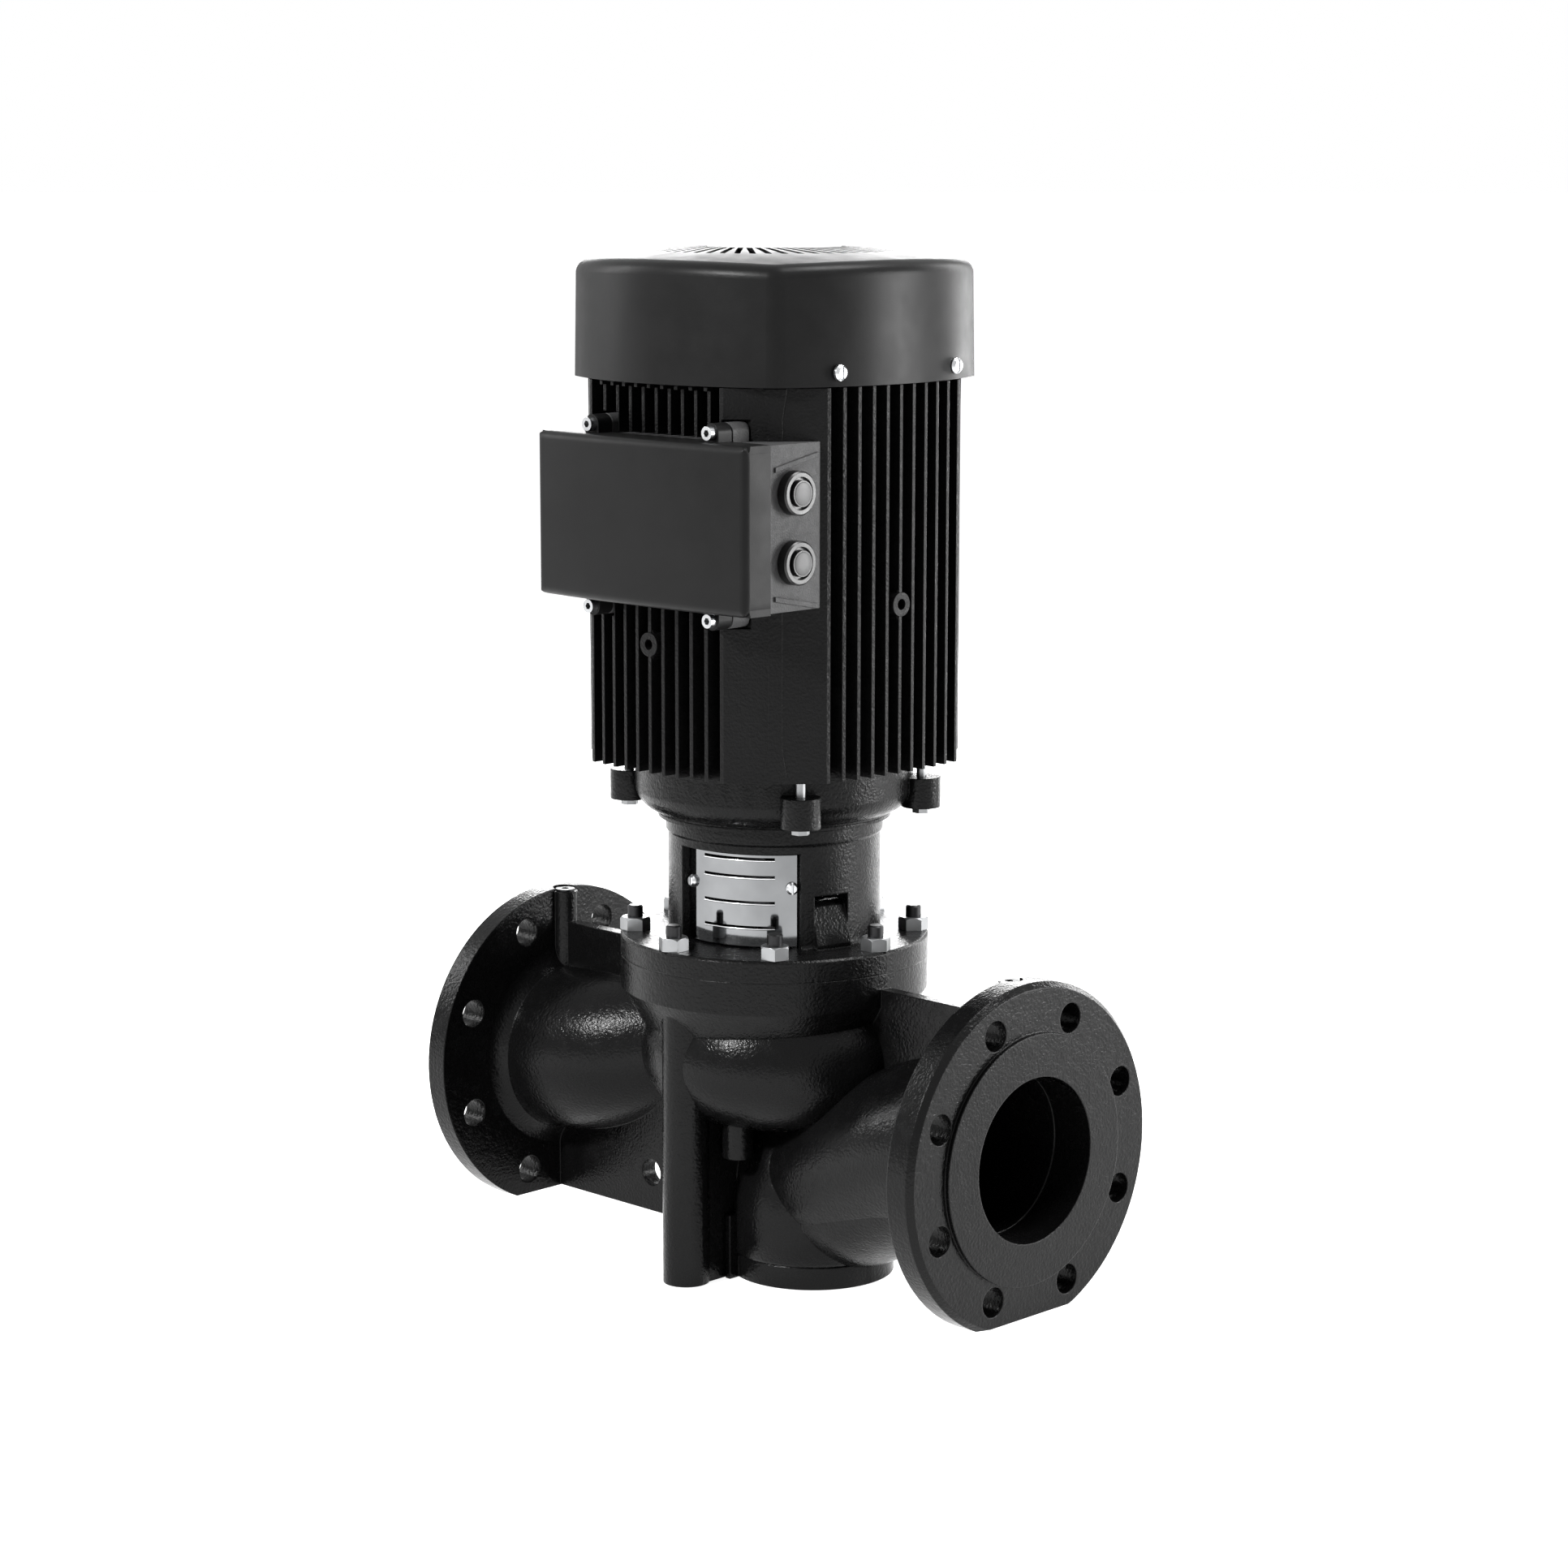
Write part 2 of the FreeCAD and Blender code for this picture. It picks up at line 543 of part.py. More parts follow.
def wedge(name, half, low, high, turn):
    """A sector about the pump axis."""
    corners = [(0, 0), (f"neck_dia * cos({half})", f"-neck_dia * sin({half})"),
               (f"neck_dia * cos({half})", f"neck_dia * sin({half})")]
    sector = raised(name, "XY_Plane", corners, f"({high}) - ({low})", (0, 0, low))
    return place(sector, (0, 0, low), about_axis(turn))


def motor_stool():
    plate_top = "head_seat + plate_thick"
    spigot = "chamber_dia / 2 - casting_wall"
    casting = turned("stool_casting", [
        ("seal_bore / 2", "spigot_low"), ("seal_bore / 2 + 8", "spigot_low"),
        ("seal_bore / 2 + 10", "head_seat - 9.5"), (f"{spigot} - 3", "head_seat - 9.5"),
        (f"{spigot} - 3", "head_seat - 7.5"), (spigot, "head_seat - 7.5"), (spigot, "head_seat"),
        ("head_dia / 2", "head_seat"), ("head_dia / 2", f"{plate_top} - 1.5"),
        ("head_dia / 2 - 1.5", plate_top), ("neck_dia / 2 + 3", plate_top, -3),
        ("neck_dia / 2", f"{plate_top} + 3"), ("neck_dia / 2", "ring_low"),
        ("ring_dia / 2", "ring_low + 2"), ("ring_dia / 2", "stool_top - 2.5"),
        ("shield_foot_dia / 2", "stool_top - 2.5"), ("shield_foot_dia / 2", "stool_top"),
        ("shaft_end_dia / 2 + 18", "stool_top"), ("shaft_end_dia / 2 + 18", "stool_top - top_plate"),
        ("neck_dia / 2 - neck_wall", "stool_top - top_plate"), ("neck_dia / 2 - neck_wall", plate_top),
        ("pump_shaft_dia / 2 + 3", plate_top), ("pump_shaft_dia / 2 + 3", "spigot_low + 14"),
        ("seal_bore / 2", "spigot_low + 14")])
    openings = [wedge("window", "window_half", plate_top, "window_top", turn) for turn in WINDOW_TURNS]
    openings.append(block("drip_opening", ("neck_dia / 2 - neck_wall - 8", "neck_dia"),
                          ("-drip_width / 2", "drip_width / 2"),
                          (plate_top, f"{plate_top} + drip_height"), DRIP_TURN))
    openings.append(group("stud_holes", [
        cylinder("stud_hole", "stud_dia / 2 + 0.5", "plate_thick * 2",
                 ("stud_circle / 2", 0, "head_seat - 5"), turn=360 / STUDS * index)
        for index in range(STUDS)]))
    openings.append(group("motor_screw_holes", [
        cylinder("motor_screw_hole", 4.5, "top_plate * 3",
                 ("neck_dia / 2 - neck_wall - 11", 0, "stool_top - top_plate * 2"), turn=turn)
        for turn in MOTOR_SCREW_TURNS]))
    opened = cut("stool_opened", casting, *openings)
    lip = raised("drip_lip", "XZ_Plane", [
        ("neck_dia / 2 - 14", 0), ("neck_dia / 2 + 3", 0), ("neck_dia / 2 + 3", 3),
        ("neck_dia / 2 - 5", "drip_height - 8", 8), ("neck_dia / 2 - 12", "drip_height - 5"),
        ("neck_dia / 2 - 14", "drip_height - 5")], "drip_width")
    place(lip, around(0, "drip_width / 2", plate_top, DRIP_TURN), about_axis(DRIP_TURN))
    turns = [turn + side * GUARD_HALF for turn in WINDOW_TURNS for side in (-1, 1)]
    pads = [block("guard_pad", ("guard_radius - 9", "guard_radius - guard_sheet"), (-5.5, 5.5),
                  ("tab_height - 7", "tab_height + 7"), turn) for turn in turns]
    inside = cylinder("guard_pad_limit", "guard_radius - guard_sheet - pad_fit", "stool_top - head_seat",
                      (0, 0, "head_seat"))
    seats = overlap("guard_pads", group("guard_pad_set", pads), inside)
    threads = group("guard_threads", [
        cylinder("guard_thread", "guard_screw_dia / 2", 12, ("guard_radius - 12", 0, "tab_height"), "X", turn)
        for turn in turns])
    return cut("motor_stool", join("stool_with_pads", opened, lip, seats), threads)


def coupling_guard(name, turn):
    """A curved sheet, slit across its middle panel and screwed to pads through its side panels."""
    sheet_metal = ring(f"{name}_sheet", "guard_radius - guard_sheet", "guard_radius",
                       "head_seat + plate_thick + guard_gap", "window_top - guard_gap")
    sector = wedge(f"{name}_sector", GUARD_HALF + 3, "head_seat", "stool_top", turn)
    slit_sector = wedge(f"{name}_slit_sector", SLIT_HALF, "head_seat", "stool_top", turn)
    holes = [cylinder(f"{name}_hole", "guard_screw_dia / 2 + 0.25", 12,
                      ("guard_radius - 6", 0, "tab_height"), "X", turn + side * GUARD_HALF)
             for side in (-1, 1)]
    sides = cut(f"{name}_sides", overlap(f"{name}_piece", sheet_metal, sector), slit_sector, *holes)
    slits = [wedge(f"{name}_slit", SLIT_HALF + 1, f"window_top - {drop} - slit_wide",
                   f"window_top - {drop}", turn) for drop in GUARD_SLITS]
    middle = cut(f"{name}_middle", overlap(f"{name}_panel", sheet_metal, slit_sector), *slits)
    return merge(name, sides, middle)


def guards():
    add(coupling_guard("coupling_guard_front", WINDOW_TURNS[0]))
    add(coupling_guard("coupling_guard_rear", WINDOW_TURNS[1]))
    screw = slotted_screw("guard_screw", "guard_screw_dia", "guard_screw_head", 3.2, 8)
    places = []
    for turn in WINDOW_TURNS:
        for side in (-1, 1):
            at = turn + side * GUARD_HALF
            places.append((around("guard_radius", 0, "tab_height", at), about_axis(at) * DIRECTIONS["X"]))
    add(spread("guard_screws", screw, places))
    bolt = hex_screw("stool_bolt", 8, 13, 5.3, 15)
    add(spread("stool_bolts", bolt, [
        (around("neck_dia / 2 - neck_wall - 11", 0, "stool_top - top_plate", turn), DIRECTIONS["-Z"])
        for turn in MOTOR_SCREW_TURNS]))


# Impeller, pump shaft, shaft seal and coupling

def impeller():
    low = "(volute_height - impeller_outlet / 2 - impeller_shroud)"
    high = "(volute_height + impeller_outlet / 2 + impeller_shroud)"
    rim = "impeller_dia / 2"
    front = turned("impeller_front", [
        ("impeller_eye / 2", f"{low} - 9"), ("impeller_neck / 2", f"{low} - 9"), ("impeller_neck / 2", low),
        (rim, low), (rim, f"{low} + impeller_shroud"), ("impeller_eye / 2 + 11", f"{low} + impeller_shroud"),
        ("impeller_eye / 2", f"{low} - 4")])
    back = turned("impeller_back", [
        ("impeller_bore / 2", f"{low} + 2"), ("hub_dia / 2 - 4", f"{low} + 2"),
        ("hub_dia / 2", f"{low} + 8"), ("hub_dia / 2 + 12", f"{high} - impeller_shroud"),
        (rim, f"{high} - impeller_shroud"), (rim, high), ("hub_dia / 2", high),
        ("hub_dia / 2", f"{high} + 8"), ("impeller_bore / 2", f"{high} + 8")])
    inner = "impeller_eye / 2 + 3"
    outer = "(impeller_dia / 2 - 0.1)"
    vanes = fanned("impeller_vanes", [
        (inner, 2, "-impeller_dia * 0.42"),
        (f"{outer} * cos(52)", f"-{outer} * sin(52)"),
        (f"{outer} * cos(56)", f"-{outer} * sin(56)", "impeller_dia * 0.42"),
        (f"{inner} - 3", -2)], f"{high} - {low} - 3", VANES, (0, 0, f"{low} + 1.5"))
    return join("impeller", front, back, vanes)


def pump_rotor():
    add(impeller())
    hub_top = "volute_height + impeller_outlet / 2 + impeller_shroud + 8"
    hub_low = "volute_height - impeller_outlet / 2 - impeller_shroud + 2"
    add(turned("pump_shaft", [
        (0, f"{hub_low} - 12"), ("impeller_bore / 2 - 2", f"{hub_low} - 12"),
        ("impeller_bore / 2 - 2", hub_low), ("impeller_bore / 2", hub_low), ("impeller_bore / 2", hub_top),
        ("pump_shaft_dia / 2", hub_top), ("pump_shaft_dia / 2", "pump_shaft_top - 1"),
        ("pump_shaft_dia / 2 - 1", "pump_shaft_top"), (0, "pump_shaft_top")]))
    nut = hex_nut("impeller_nut", 22, "impeller_bore - 4", 9)
    place(nut, (0, 0, f"{hub_low} - 9"))
    add(nut)
    add(ring("seal_seat", "pump_shaft_dia / 2 + 2", "seal_bore / 2", "spigot_low + 4", "spigot_low + 14"))
    face = "spigot_low + 4 - seal_gap"
    add(turned("seal_head", [
        ("pump_shaft_dia / 2 + 1", f"{face} - 6"), ("pump_shaft_dia / 2 + 8", f"{face} - 6"),
        ("pump_shaft_dia / 2 + 8", f"{face} - 2"), ("pump_shaft_dia / 2 + 6", f"{face} - 2"),
        ("pump_shaft_dia / 2 + 6", face), ("pump_shaft_dia / 2 + 1", face)]))
    fold = f"({face} - 6 - ({hub_top})) / 6"
    folds = [("pump_shaft_dia / 2", hub_top)]
    for step in range(7):
        folds.append((f"pump_shaft_dia / 2 + {7 if step % 2 else 4.5}", f"{hub_top} + {fold} * {step}"))
    folds.append(("pump_shaft_dia / 2", f"{face} - 6"))
    add(turned("seal_bellows", folds))


def coupling():
    muff = turned("coupling_muff", [
        ("pump_shaft_dia / 2", "coupling_low"), ("coupling_dia / 2 - 1.5", "coupling_low"),
        ("coupling_dia / 2", "coupling_low + 1.5"), ("coupling_dia / 2", "coupling_high - 1.5"),
        ("coupling_dia / 2 - 1.5", "coupling_high"), ("shaft_end_dia / 2", "coupling_high"),
        ("shaft_end_dia / 2", "pump_shaft_top + 1"), ("pump_shaft_dia / 2", "pump_shaft_top + 1")])
    holes = []
    places = []
    for side in (-1, 1):
        for height in ("coupling_low + 13", "coupling_high - 13"):
            spot = f"{side} * (coupling_dia / 2 - 9)"
            holes.append(cylinder("coupling_bore", 3, "coupling_dia",
                                  (spot, "-coupling_dia / 2", height), "Y"))
            holes.append(cylinder("coupling_sink", 5.5, "coupling_dia / 2",
                                  (spot, "-coupling_dia / 2 - 12", height), "Y"))
            places.append(((spot, -12, height), DIRECTIONS["-Y"]))
    bores = group("coupling_bores", holes)
    for name, ends in (("coupling_half_front", ("-coupling_dia", "-coupling_split / 2")),
                       ("coupling_half_rear", ("coupling_split / 2", "coupling_dia"))):
        side = block(f"{name}_side", ("-coupling_dia", "coupling_dia"), ends,
                     ("coupling_low - 5", "coupling_high + 5"))
        add(cut(name, overlap(f"{name}_form", muff, side), bores))
    screw = socket_plug("coupling_screw", 6, 26, 10, 6, 5)
    add(spread("coupling_screws", screw, places))


# Motor shaft, rotor, stator and bearings

def motor_rotor():
    low = "lower_bearing_low"
    high = "upper_bearing_low"
    add(turned("motor_shaft", [
        (0, "shaft_end_low"), ("shaft_end_dia / 2 - 1", "shaft_end_low"),
        ("shaft_end_dia / 2", "shaft_end_low + 1"), ("shaft_end_dia / 2", f"{low} - 8"),
        ("journal_dia / 2", f"{low} - 8"), ("journal_dia / 2", f"{low} + lower_bearing_wide"),
        ("rotor_seat_dia / 2", f"{low} + lower_bearing_wide"), ("rotor_seat_dia / 2", high),
        ("journal_dia / 2", high), ("journal_dia / 2", f"{high} + upper_bearing_wide"),
        ("fan_seat_dia / 2", f"{high} + upper_bearing_wide"), ("fan_seat_dia / 2", "shaft_top - 1"),
        ("fan_seat_dia / 2 - 1", "shaft_top"), (0, "shaft_top")]))
    reach = "stator_bore / 2 - air_gap"
    add(ring("rotor_core", "rotor_seat_dia / 2", reach, "stack_low", "stack_high"))
    rings = [ring("rotor_ring", "stator_bore / 2 - 20", f"{reach} - 2.5", low_end, high_end)
             for low_end, high_end in (("stack_low - 10", "stack_low"), ("stack_high", "stack_high + 10"))]
    add(group("rotor_end_rings", rings))
    add(turned("shaft_slinger", [
        ("shaft_end_dia / 2", "stool_top - 9"), ("shaft_end_dia / 2 + 5", "stool_top - 9"),
        ("shaft_end_dia / 2 + 12", "stool_top - 3"), ("shaft_end_dia / 2 + 11", "stool_top - 2"),
        ("shaft_end_dia / 2 + 4", "stool_top - 5"), ("shaft_end_dia / 2", "stool_top - 5")]))
    add(ring("stator_core", "stator_bore / 2", "stator_dia / 2", "stack_low", "stack_high"))
    coils = [turned("coil_end", [
        ("stator_bore / 2 + 5", end), ("stator_dia / 2 - 3", end),
        ("stator_dia / 2 - 3", f"{end} + {way} * winding_rise * 0.7"),
        ("stator_dia / 2 - 9", f"{end} + {way} * winding_rise"),
        ("stator_bore / 2 + 11", f"{end} + {way} * winding_rise"),
        ("stator_bore / 2 + 5", f"{end} + {way} * winding_rise * 0.7")])
        for end, way in (("stack_low", -1), ("stack_high", 1))]
    add(group("stator_windings", coils))


def bearing(name, bore, outer, low, wide):
    """A deep-groove ball bearing as two races, and one set of balls in its cage."""
    middle = f"({low} + {wide} / 2)"
    track = f"(({outer} + {bore}) / 4)"
    size = f"(({outer} - {bore}) * 0.145)"
    groove = f"({size} + ball_gap)"
    lands = f"({size} * 0.78)"
    half = f"sqrt({groove} ^ 2 - {lands} ^ 2)"
    add(turned(f"{name}_inner_race", [
        (f"{bore} / 2", low), (f"{track} - {lands}", low),
        (f"{track} - {lands}", f"{middle} - {half}", f"-{groove}"),
        (f"{track} - {lands}", f"{middle} + {half}"), (f"{track} - {lands}", f"{low} + {wide}"),
        (f"{bore} / 2", f"{low} + {wide}")]))
    add(turned(f"{name}_outer_race", [
        (f"{track} + {lands}", low), (f"{outer} / 2", low), (f"{outer} / 2", f"{low} + {wide}"),
        (f"{track} + {lands}", f"{low} + {wide}"), (f"{track} + {lands}", f"{middle} + {half}", f"-{groove}"),
        (f"{track} + {lands}", f"{middle} - {half}")]))
    cage = ring(f"{name}_cage", f"{track} - 1", f"{track} + 1", f"{middle} - {size} * 0.7",
                f"{middle} + {size} * 0.7")
    balls = [ball(f"{name}_ball", size, (track, 0, middle), 360 / BALLS * index) for index in range(BALLS)]
    add(join(f"{name}_balls", cage, *balls))


def bearings():
    bearing("lower_bearing", "journal_dia", "lower_bearing_dia", "lower_bearing_low", "lower_bearing_wide")
    bearing("upper_bearing", "journal_dia", "upper_bearing_dia", "upper_bearing_low", "upper_bearing_wide")
    top = "upper_bearing_low + upper_bearing_wide"
    add(ring("wave_spring", "upper_bearing_dia / 2 - 4", "upper_bearing_dia / 2",
             top, f"{top} + spring_high"))


# End shields and finned frame

def drive_end_shield():
    low = "lower_bearing_low"
    foot = "shield_foot_dia / 2"
    rim = "shield_dia / 2"
    seat = "lower_bearing_dia / 2"
    spigot = "stator_dia / 2"
    form = turned("shield_form", [
        ("journal_dia / 2 + 2", "stool_top"), (foot, "stool_top"), (f"{foot} + 1", "stool_top + 1.5", 18),
        (rim, f"{low} + 7"), (rim, "frame_low"), (spigot, "frame_low"), (spigot, "frame_low + 6"),
        (f"{spigot} - shield_wall", "frame_low + 6"), (f"{spigot} - shield_wall", f"{low} + 8"),
        (f"{seat} + 8", low), (f"{seat} + 8", f"{low} + lower_bearing_wide + 2"),
        (seat, f"{low} + lower_bearing_wide + 2"), (seat, low), (f"{seat} - 3", low),
        (f"{seat} - 3", f"{low} - 3"), ("journal_dia / 2 + 2", f"{low} - 3")])
    corners = [(x, y) for x in (-1, 1) for y in (-1, 1)]
    lugs = [cylinder("shield_lug", "lug_dia / 2", "lug_high - lug_low",
                     (f"{x} * lug_reach", f"{y} * lug_side", "lug_low")) for x, y in corners]
    holes = [cylinder("lug_hole", "lug_bolt / 2 + 0.4", "lug_high",
                      (f"{x} * lug_reach", f"{y} * lug_side", "lug_low / 2")) for x, y in corners]
    threads = [cylinder("stool_thread", 4, 7,
                        ("neck_dia / 2 - neck_wall - 11", 0, "stool_top - 1"), turn=turn)
               for turn in MOTOR_SCREW_TURNS]
    inside = cylinder("shield_inside", f"{spigot} - shield_wall", "frame_low", (0, 0, f"{low} + 8"))
    lugs_outside = cut("shield_lugs", group("shield_lug_set", lugs), inside)
    add(cut("drive_end_shield", join("shield_with_lugs", form, lugs_outside), group("lug_holes", holes),
            group("stool_threads", threads)))
    bolt = hex_screw("shield_bolt", "lug_bolt", 10, 4, "frame_low - lug_low + 14")
    add(spread("shield_bolts", bolt, [((f"{x} * lug_reach", f"{y} * lug_side", "lug_low"), DIRECTIONS["-Z"])
                                      for x, y in corners]))


def fan_end_shield():
    low = "upper_bearing_low"
    seat = "upper_bearing_dia / 2"
    spigot = "stator_dia / 2"
    top = "frame_high + shield_wall + 2"
    web = f"{low} + upper_bearing_wide + spring_high"
    form = turned("fan_shield_form", [
        ("fan_seat_dia / 2 + 1.5", web), (seat, web), (seat, low), (f"{seat} + 7", low),
        (f"{seat} + 7", "frame_high + 1"), (f"{spigot} - shield_wall", "frame_high + 1"),
        (f"{spigot} - shield_wall", "frame_high - 6"), (spigot, "frame_high - 6"), (spigot, "frame_high"),
        ("core_dia / 2 + 4", "frame_high"), ("core_dia / 2 + 4", top), ("fan_seat_dia / 2 + 1.5", top)])
    inner = "cover_reach - cover_wall - 1.5"
    pads = []
    threads = []
    for side in (-1, 1):
        for y in (-1, 1):
            ends = ("core_dia / 2 - 12", inner)
            span = ends if side > 0 else tuple(f"-({end})" for end in reversed(ends))
            pads.append(block("cover_pad", span,
                              (f"{y} * cover_screw_side - 7", f"{y} * cover_screw_side + 7"),
                              ("frame_high", top)))
            spot = (f"{side} * ({inner} - 18)", f"{y} * cover_screw_side", "cover_screw_height")
            threads.append(cylinder("cover_thread", 2.5, 26, spot, "X" if side > 0 else "-X"))
    limit = raised("pad_limit", "XY_Plane", cover_corners("cover_wall + 0.5"), "shield_wall + 2",
                   (0, 0, "frame_high"))
    add(cut("fan_end_shield", join("fan_shield_body", form, overlap("pads_kept", group("pads", pads), limit)),
            group("cover_threads", threads)))


def four_sided(reach, width, side_radius, corner_radius):
    """Four bulged sides and four rounded corners, each as a point and the radius that follows."""
    corners = []
    for x, y in ((1, 0), (0, 1), (-1, 0), (0, -1)):
        for way, radius in ((-1, side_radius), (1, corner_radius)):
            corners.append((f"({x}) * {reach} - ({y * way}) * {width}",
                            f"({y}) * {reach} + ({x * way}) * {width}", radius))
    return corners


def envelope(name, grow, low, high):
    """The outline that holds all fins of the frame, or the same made larger all round."""
    width = "(fin_pitch * 5 + fin_thick / 2)"
    reach = f"(fin_reach + {grow} - side_radius + sqrt(side_radius ^ 2 - {width} ^ 2))"
    return raised(name, "XY_Plane", four_sided(reach, width, "side_radius", "corner_radius"),
                  f"({high}) - ({low})", (0, 0, low))


def corner_rib(inner, outer, turn):
    """A flat upright rib on a corner of the frame, which widens at both ends."""
    low = "(frame_low + 4)"
    high = "(cover_low - cover_gap - 0.4)"
    half = "corner_rib / 2"
    wide = "rib_flare / 2"
    rib = raised("corner_rib", "YZ_Plane", [
        (f"-{wide}", low), (wide, low), (half, f"{low} + rib_flare_high"), (half, f"{high} - rib_flare_high"),
        (wide, high), (f"-{wide}", high), (f"-{half}", f"{high} - rib_flare_high"),
        (f"-{half}", f"{low} + rib_flare_high")], f"{outer} - ({inner})")
    return place(rib, around(inner, 0, 0, turn), about_axis(turn))


def stator_frame():
    height = ("frame_low", "cover_low - cover_gap")
    half = "fin_thick / 2"
    fins = []
    for face in range(4):
        for row in range(-FIN_ROWS, FIN_ROWS + 1):
            fins.append(block("fin", ("core_dia / 2 - 34", "fin_reach + 4"),
                              (f"{row} * fin_pitch - {half}", f"{row} * fin_pitch + {half}"),
                              height, 90 * face))
    inner = "(fin_pitch * 5 - fin_thick / 2)"
    outer = "(fin_reach + 12)"
    wedges = fanned("frame_corners", [(inner, inner), (outer, inner), (outer, outer), (inner, outer)],
                    "cover_low - cover_gap - frame_low", 4, (0, 0, "frame_low"))
    core = cylinder("frame_core", "core_dia / 2", "frame_high - frame_low", (0, 0, "frame_low"))
    blank = overlap("frame_blank", join("frame_solid", core, wedges, *fins),
                    envelope("frame_envelope", 0, "frame_low", "frame_high"))
    ribs = [corner_rib("fin_reach - 4", "fin_reach + 6.4 + corner_rise", 90 * face + 45) for face in range(4)]
    corners = [(x, y) for x in (-1, 1) for y in (-1, 1)]
    pads = [cylinder("frame_pad", "lug_bolt / 2 + 5", 22,
                     (f"{x} * lug_reach", f"{y} * lug_side", "frame_low"))
            for x, y in corners]
    bosses = []
    for turn, eye in ((0, "side_eye_height"), (-90, "box_eye_height")):
        bosses.append(cylinder("eye_boss", "eye_boss_dia / 2", "fin_reach - core_dia / 2 + 6",
                               ("core_dia / 2 - 5", 0, eye), turn=turn, along="X"))
        flare = raised("eye_flare", "YZ_Plane", [
            (0, "-eye_flare_high"), ("eye_flare", 0), (0, "eye_flare_high"), ("-eye_flare", 0)],
            "fin_reach - core_dia / 2 + 4")
        bosses.append(place(flare, around("core_dia / 2 - 5", 0, eye, turn), about_axis(turn)))
    tools = [cylinder("frame_bore", "stator_dia / 2", "frame_high", (0, 0, "frame_low / 2")),
             block("box_pocket", ("-box_left", "box_right"), ("-fin_reach * 2", "-box_seat"),
                   ("box_low - box_gap", "box_high + box_gap")),
             block("upper_pocket", (-48, 48), ("-fin_reach * 2", -103), ("box_high - 2", "cover_low - 3")),
             group("ear_pockets", [
                 block("ear_pocket", (f"{x} - 7", f"{x} + 7"), ("-fin_reach * 2", "-box_front + 15"),
                       (f"{z} - 7", "box_low + 2") if "low" in z else ("box_high - 2", f"{z} + 7"))
                 for x, z in lid_screw_places()]),
             group("eye_threads", [
                 cylinder("eye_hole", "eye_thread / 2", 16, ("fin_reach - 14", 0, height),
                          turn=turn, along="X")
                 for turn, height in ((0, "side_eye_height"), (-90, "box_eye_height"))]),
             group("lug_threads", [
                 cylinder("lug_thread", "lug_bolt / 2", 34,
                          (f"{x} * lug_reach", f"{y} * lug_side", "frame_low - 15"))
                 for x, y in corners])]
    return cut("stator_frame", join("frame_with_bosses", blank, *ribs, *pads, *bosses), *tools)


# Fan and fan cover

def fan():
    hub = ring("fan_hub", "fan_seat_dia / 2", "fan_seat_dia / 2 + 8", "fan_low", "fan_low + fan_wide")
    disc = ring("fan_disc", "fan_seat_dia / 2", "fan_dia / 2 - 14", "fan_low", "fan_low + 3")
    blades = fanned("fan_blades", [("fan_seat_dia / 2 + 5", -1.2), ("fan_dia / 2", -1.2),
                                   ("fan_dia / 2", 1.2), ("fan_seat_dia / 2 + 5", 1.2)],
                    "fan_wide - 4", FAN_BLADES, (0, 0, "fan_low + 1"))
    add(join("fan", hub, disc, blades))
    top = "fan_low + fan_wide"
    add(ring("fan_clip", "fan_seat_dia / 2", "fan_seat_dia / 2 + 3", top, f"{top} + 1.5"))


def cover_corners(inset):
    side = f"(cover_side_radius - ({inset}))"
    shift = "(cover_reach - cover_side_radius)"
    span = "(cover_side_radius - cover_corner)"
    centre = f"(({shift} + sqrt(2 * {span} ^ 2 - {shift} ^ 2)) / 2)"
    reach = f"({shift} + ({centre} - {shift}) * {side} / {span})"
    width = f"({centre} * {side} / {span})"
    return four_sided(reach, width, side, f"(cover_corner - ({inset}))")


def cover_shape(name, inset, high):
    """The form of the fan cover: drafted sides, a domed top and a rounded edge between them."""
    body = raised(name, "XY_Plane", cover_corners(inset), f"{high} - cover_low + 2", (0, 0, "cover_low"),
                  -COVER_DRAFT)
    dome = "((cover_reach * 0.92) ^ 2 / 2 / dome_rise)"
    edge = "(cover_reach * 1.3)"
    top = f"({high} - cover_low)"
    profile = outline(body, f"{name}_dome", "XZ_Plane", [
        (0, top, f"-{dome}"), (edge, f"{top} - {dome} + sqrt({dome} ^ 2 - {edge} ^ 2)"),
        (edge, f"{top} + 9"), (0, f"{top} + 9")])
    profile.Visibility = False
    groove = body.newObject("PartDesign::Groove", f"{name}_groove")
    groove.Profile = profile
    groove.ReferenceAxis = (profile, ["V_Axis"])
    groove.Angle = 360
    body.Tip = groove
    doc.recompute()
    crown = max(groove.Shape.Faces, key=lambda face: face.CenterOfMass.z)
    names = [f"Edge{number}" for number, edge in enumerate(groove.Shape.Edges, start=1)
             if any(edge.isSame(other) for other in crown.Edges)]
    fillet = body.newObject("PartDesign::Fillet", f"{name}_fillet")
    fillet.Base = (groove, names)
    fillet.setExpression("Radius", linked(f"cover_fillet - ({inset})"))
    body.Tip = fillet
    return body


